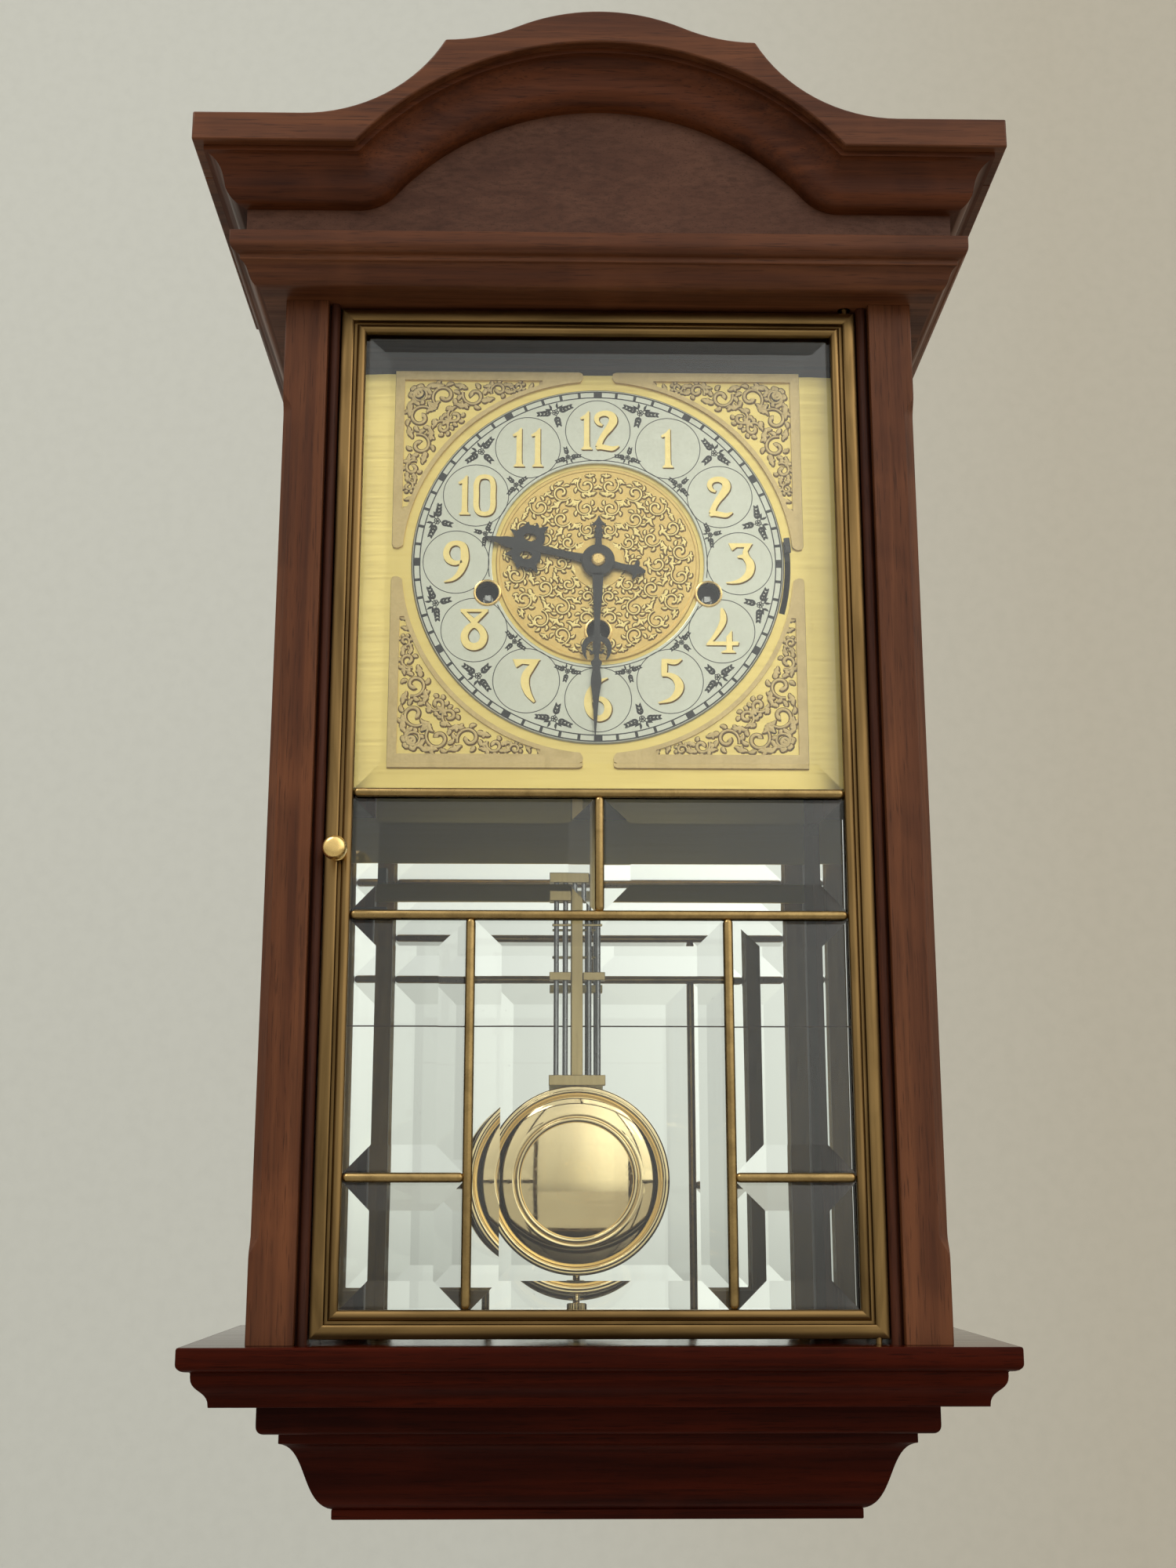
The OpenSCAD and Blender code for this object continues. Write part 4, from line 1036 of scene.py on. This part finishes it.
hour_lines = [
    [(0, 5.5, 3.9), (0, 10, 3.2), (0, 16, 2.8), (0, 22, 3), (0, 29, 2.8), (0, 34, 4.4), (0, 38, 4.4),
     (0, 41, 2.8), (0, 44, 1.9), (0, 47, 0.3)],
    [(0, -5.5, 3.4), (0, -9, 2.6), (0, -12.5, 2.8), (0, -15.5, 3.8), (0, -18, 2.4), (0, -19.6, 0.8)],
    [(6.4, 30.4, 3.4), (8.6, 31.2, 2.2), (10.2, 31, 0.3)],
    [(5.6, 26.6, 3.8), (7.6, 25.2, 3), (9.9, 22.9, 0.3)],
    [(3, 33, 3.6), (4.3, 35, 2.2), (5.4, 37.3, 0.3)],
    [(6.2, 27.6, 3), (8.8, 27.2, 1.6), (10.4, 27.8, 0.3)],
    [(0.4, -15.2, 2.2), (2.8, -15.6, 1.6), (4, -15, 0.4)],
]
hour_loop = [(3.9 + 3.5 * cos(radians(a)), 29 + 4.3 * sin(radians(a)), 3.5)
             for a in range(0, 360, 30)]
hand("hour_pointer", hour_lines, [hour_loop], [], 3.6, 282.6, "hour")

nut = [(2, 20.8), (2.85, 20.8), (2.85, 20.2), (2.5, 19.7), (2, 19.4)]
piece("hand_cap", turned(nut, DIAL, n=48, closed=True), knob_brass, "minute", "movement_brass",
      "hand_nut")


# ---- pendulum ----
BOB = box_mm("pendulum_bob")
PX = (BOB[0] + BOB[1]) / 2
PY = 86.0
BOB_Z = BOB[5] - 37.8
# The bob's face: a shallow dome, two thin rings, a wide cove and the rim's rings
front = [(0, 5)] + [(r, 5 - 2.4 * (r / 22.9) ** 2) for r in (4, 8, 12, 15, 18, 20, 21.6, 22.9)]
for q, r, end, n in (
    ((23, 3.6), (23.6, 4.2), (24.4, 4), 6), ((24.9, 3.8), (25, 3.2), (25.4, 3.3), 5),
    ((25.8, 3.8), (26.3, 3.9), (26.8, 3.6), 5), ((29, 3.25), (31.8, 2.5), (34.2, 0.9), 12),
    ((34.4, 2), (34.9, 2.9), (35.6, 3), 6), ((36, 3), (36.2, 2.5), (36.4, 2.6), 4),
    ((37.2, 2.8), (37.8, 2.4), (37.8, 1.2), 6), ((37.8, 0), (37.7, -2.4), (35.8, -3), 6),
):
    front += curve(front[-1], q, r, end, n)[1:]
front += [(0, -3)]
bob = Shape(turned([(r, PY - h) for r, h in front], (PX, BOB_Z), n=128))
bob.add(turned([(0, 12), (1, 12), (1.2, 12.4), (1.2, BOB_Z - 36.9), (0, BOB_Z - 36.9)], (PX, PY), "z", 20))
for k in range(9):
    bob.add(turned([(1, 12.6 + k), (1.3, 13 + k), (1, 13.4 + k)], (PX, PY), "z", 20, True))
piece("bob_disc", bob, bob_brass, "pendulum", "pendulum_brass", "pendulum_bob", angle=40)

# Gridiron: every block above the lowest is open in front of the centre strip
LOWEST, GAP = 97, 2.5
shape = Shape()
for low, tall, half, depth in ((LOWEST, 4.2, 11.65, 2.5), (140.3, 3.4, 11.6, 2.2),
                               (155.5, 1.0, 10.5, 1.6), (181.5, 4.2, 11.65, 2.5)):
    across = [(-half, half, -depth)]
    if low > LOWEST:
        across = [(-half, -GAP, -depth), (GAP, half, -depth), (-GAP, GAP, 0.7)]
    for left, right, front_y in across:
        shape.add(block(PX + left, PX + right, PY + front_y, PY + depth, low, low + tall))
piece("gridiron_blocks", shape, satin_brass, "pendulum", "pendulum_brass", "pendulum_blocks", bevel=0.25)
piece("centre_strip", block(*box_mm("pendulum_strip")), satin_brass, "pendulum", "pendulum_brass",
      "pendulum_strip", bevel=0.2)
rod = [(0, 100.4), (1.05, 100.4), (1.05, 182.1), (0, 182.1)]
shape = Shape(*[turned(rod, (PX + off, PY), "z", 20) for off in (-8.7, -4.9, 4.9, 8.7)])
piece("gridiron_rods", shape, steel, "pendulum", "steel", "pendulum_rods")


def nut_row(even, odd, z):
    """48 points round the rating nut, at two radii in turn."""
    row = []
    for k in range(48):
        r = odd if k % 2 else even
        a = 2 * pi * k / 48
        row.append((PX + r * cos(a), PY + r * sin(a), z))
    return row


ring = [nut_row(1.4, 1.4, 14), nut_row(3.375, 3.6, 14), nut_row(3.75, 4, 14.4), nut_row(3.75, 4, 17.6),
        nut_row(3.375, 3.6, 18), nut_row(1.4, 1.4, 18)]
piece("regulating_nut", loft(ring + ring[:1], True, False), satin_brass, "rating", "pendulum_brass",
      "rating_nut", angle=25)


# ---- CAD nodes that stay ----
for mat, names in (
    (back_wood, "back_panel"), (seat_wood, "seat_board"), (veneer, "frieze_panel"), (deep_shaded_y, "frieze_box"),
    (mirror, "mirror_upper mirror_lower"), (brass_z, "door_bushes pivot_pins"), (gilt, "dial_plate"),
    (iron, "door_catch chime_block"), (knob_brass, "centre_arbor"),
    (steel, "hanger_plate chime_rods pallet_anchor suspension_spring"),
    (move_brass, "front_plate back_plate plate_pillars suspension_post hour_wheel escape_wheel "
                 "hammer_bracket chime_hammers"),
):
    for name in names.split():
        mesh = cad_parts[name].data
        mesh.materials.clear()
        mesh.materials.append(mat)


# ---- stage, lights and camera ----
REACH, WALL_Y, FLOOR_Z = 14, 1.6, -1.4


def sheet(name, near, far, left, right):
    """A stage plane between two (y, z) edges, in matt paint that darkens and warms from left to right as
    painted shade.
    """
    mat = material("pale_" + name, Specular_IOR_Level=0.2)
    place = node(mat, "TexCoord", {})
    across = node(mat, "SeparateXYZ", {0: place.outputs["Object"]})
    # painted shade: darker and warmer towards the right
    tone = mix(mat, spread(mat, across.outputs["X"], -0.1, 0.7, 0.0, 1.0), left, right)
    fine = noise(mat, [60.0] * 3, 3.0)
    tone = mix(mat, spread(mat, fine, 0.4, 0.7, 0.0, 0.5), tone, [0.94] * 3, "MULTIPLY")
    link(mat, tone, "Base Color")
    link(mat, spread(mat, fine, 0.3, 0.7, 0.75, 0.85), "Roughness")
    mesh = bpy.data.meshes.new(name)
    mesh.from_pydata([(-REACH, *near), (REACH, *near), (REACH, *far), (-REACH, *far)], [], [(0, 1, 2, 3)])
    mesh.materials.append(mat)
    placed(name, mesh)


# Floor and backdrop, each darker and warmer to the right as painted shade
sheet("floor", (-REACH, FLOOR_Z), (WALL_Y, FLOOR_Z), (0.44, 0.43, 0.4), (0.42, 0.4, 0.36))
sheet("backdrop", (WALL_Y, FLOOR_Z), (WALL_Y, 5), (0.5, 0.5, 0.465), (0.45, 0.415, 0.35))

# The studio's light: dark below and pale above, stronger to the right
world = bpy.data.worlds.new("studio")
world.use_nodes = True
bpy.context.scene.world = world
coord = node(world, "TexCoord", {})
split = node(world, "SeparateXYZ", {0: coord.outputs["Generated"]})
ramp = node(world, "ValToRGB", {0: spread(world, split.outputs["Z"], -0.5, 1.0, 0.0, 1.0)})
stops = ramp.color_ramp.elements
stops[0].position = 0.22
stops[0].color = (0.1, 0.09, 0.075, 1.0)
stops[1].position = 0.6
stops[1].color = (1.0, 1.0, 0.95, 1.0)
stops.new(0.34).color = (0.66, 0.66, 0.6, 1.0)
strength = node(world, "MapRange", {0: split.outputs["X"], 1: -0.15, 2: 0.3, 3: 0.9, 4: 1.75},
                interpolation_type="SMOOTHSTEP")
link(world, ramp.outputs[0], "Color", "Background")
link(world, strength.outputs[0], "Strength", "Background")


def area(name, place, target, size, power, colour):
    """A soft rectangular light that points at a target."""
    lamp = bpy.data.lights.new(name, "AREA")
    lamp.shape = "RECTANGLE"
    lamp.size, lamp.size_y = size
    lamp.energy = power
    lamp.color = colour
    obj = placed(name, lamp)
    obj.location = place
    obj.rotation_euler = (Vector(target) - Vector(place)).to_track_quat("-Z", "Y").to_euler()


area("key", (-1.45, -1.3, 2.15), (0, 0, -0.15), (1.3, 1.3), 38, (1.0, 0.98, 0.94))
area("fill", (1.7, -1.5, 1.2), (0, 0, -0.1), (1.2, 1.2), 7, (1.0, 0.93, 0.84))

camera = bpy.data.cameras.new("camera")
camera.sensor_fit = "VERTICAL"
camera.sensor_height = 36
camera.lens = 42.39
camera.clip_start = 0.02
viewer = placed("camera", camera)
viewer.location = at(-16.4, -684, 46.6)
viewer.rotation_euler = (radians(90 + 13.03), 0, radians(-1.0))
bpy.context.scene.camera = viewer
bpy.context.scene.view_settings.view_transform = "Standard"
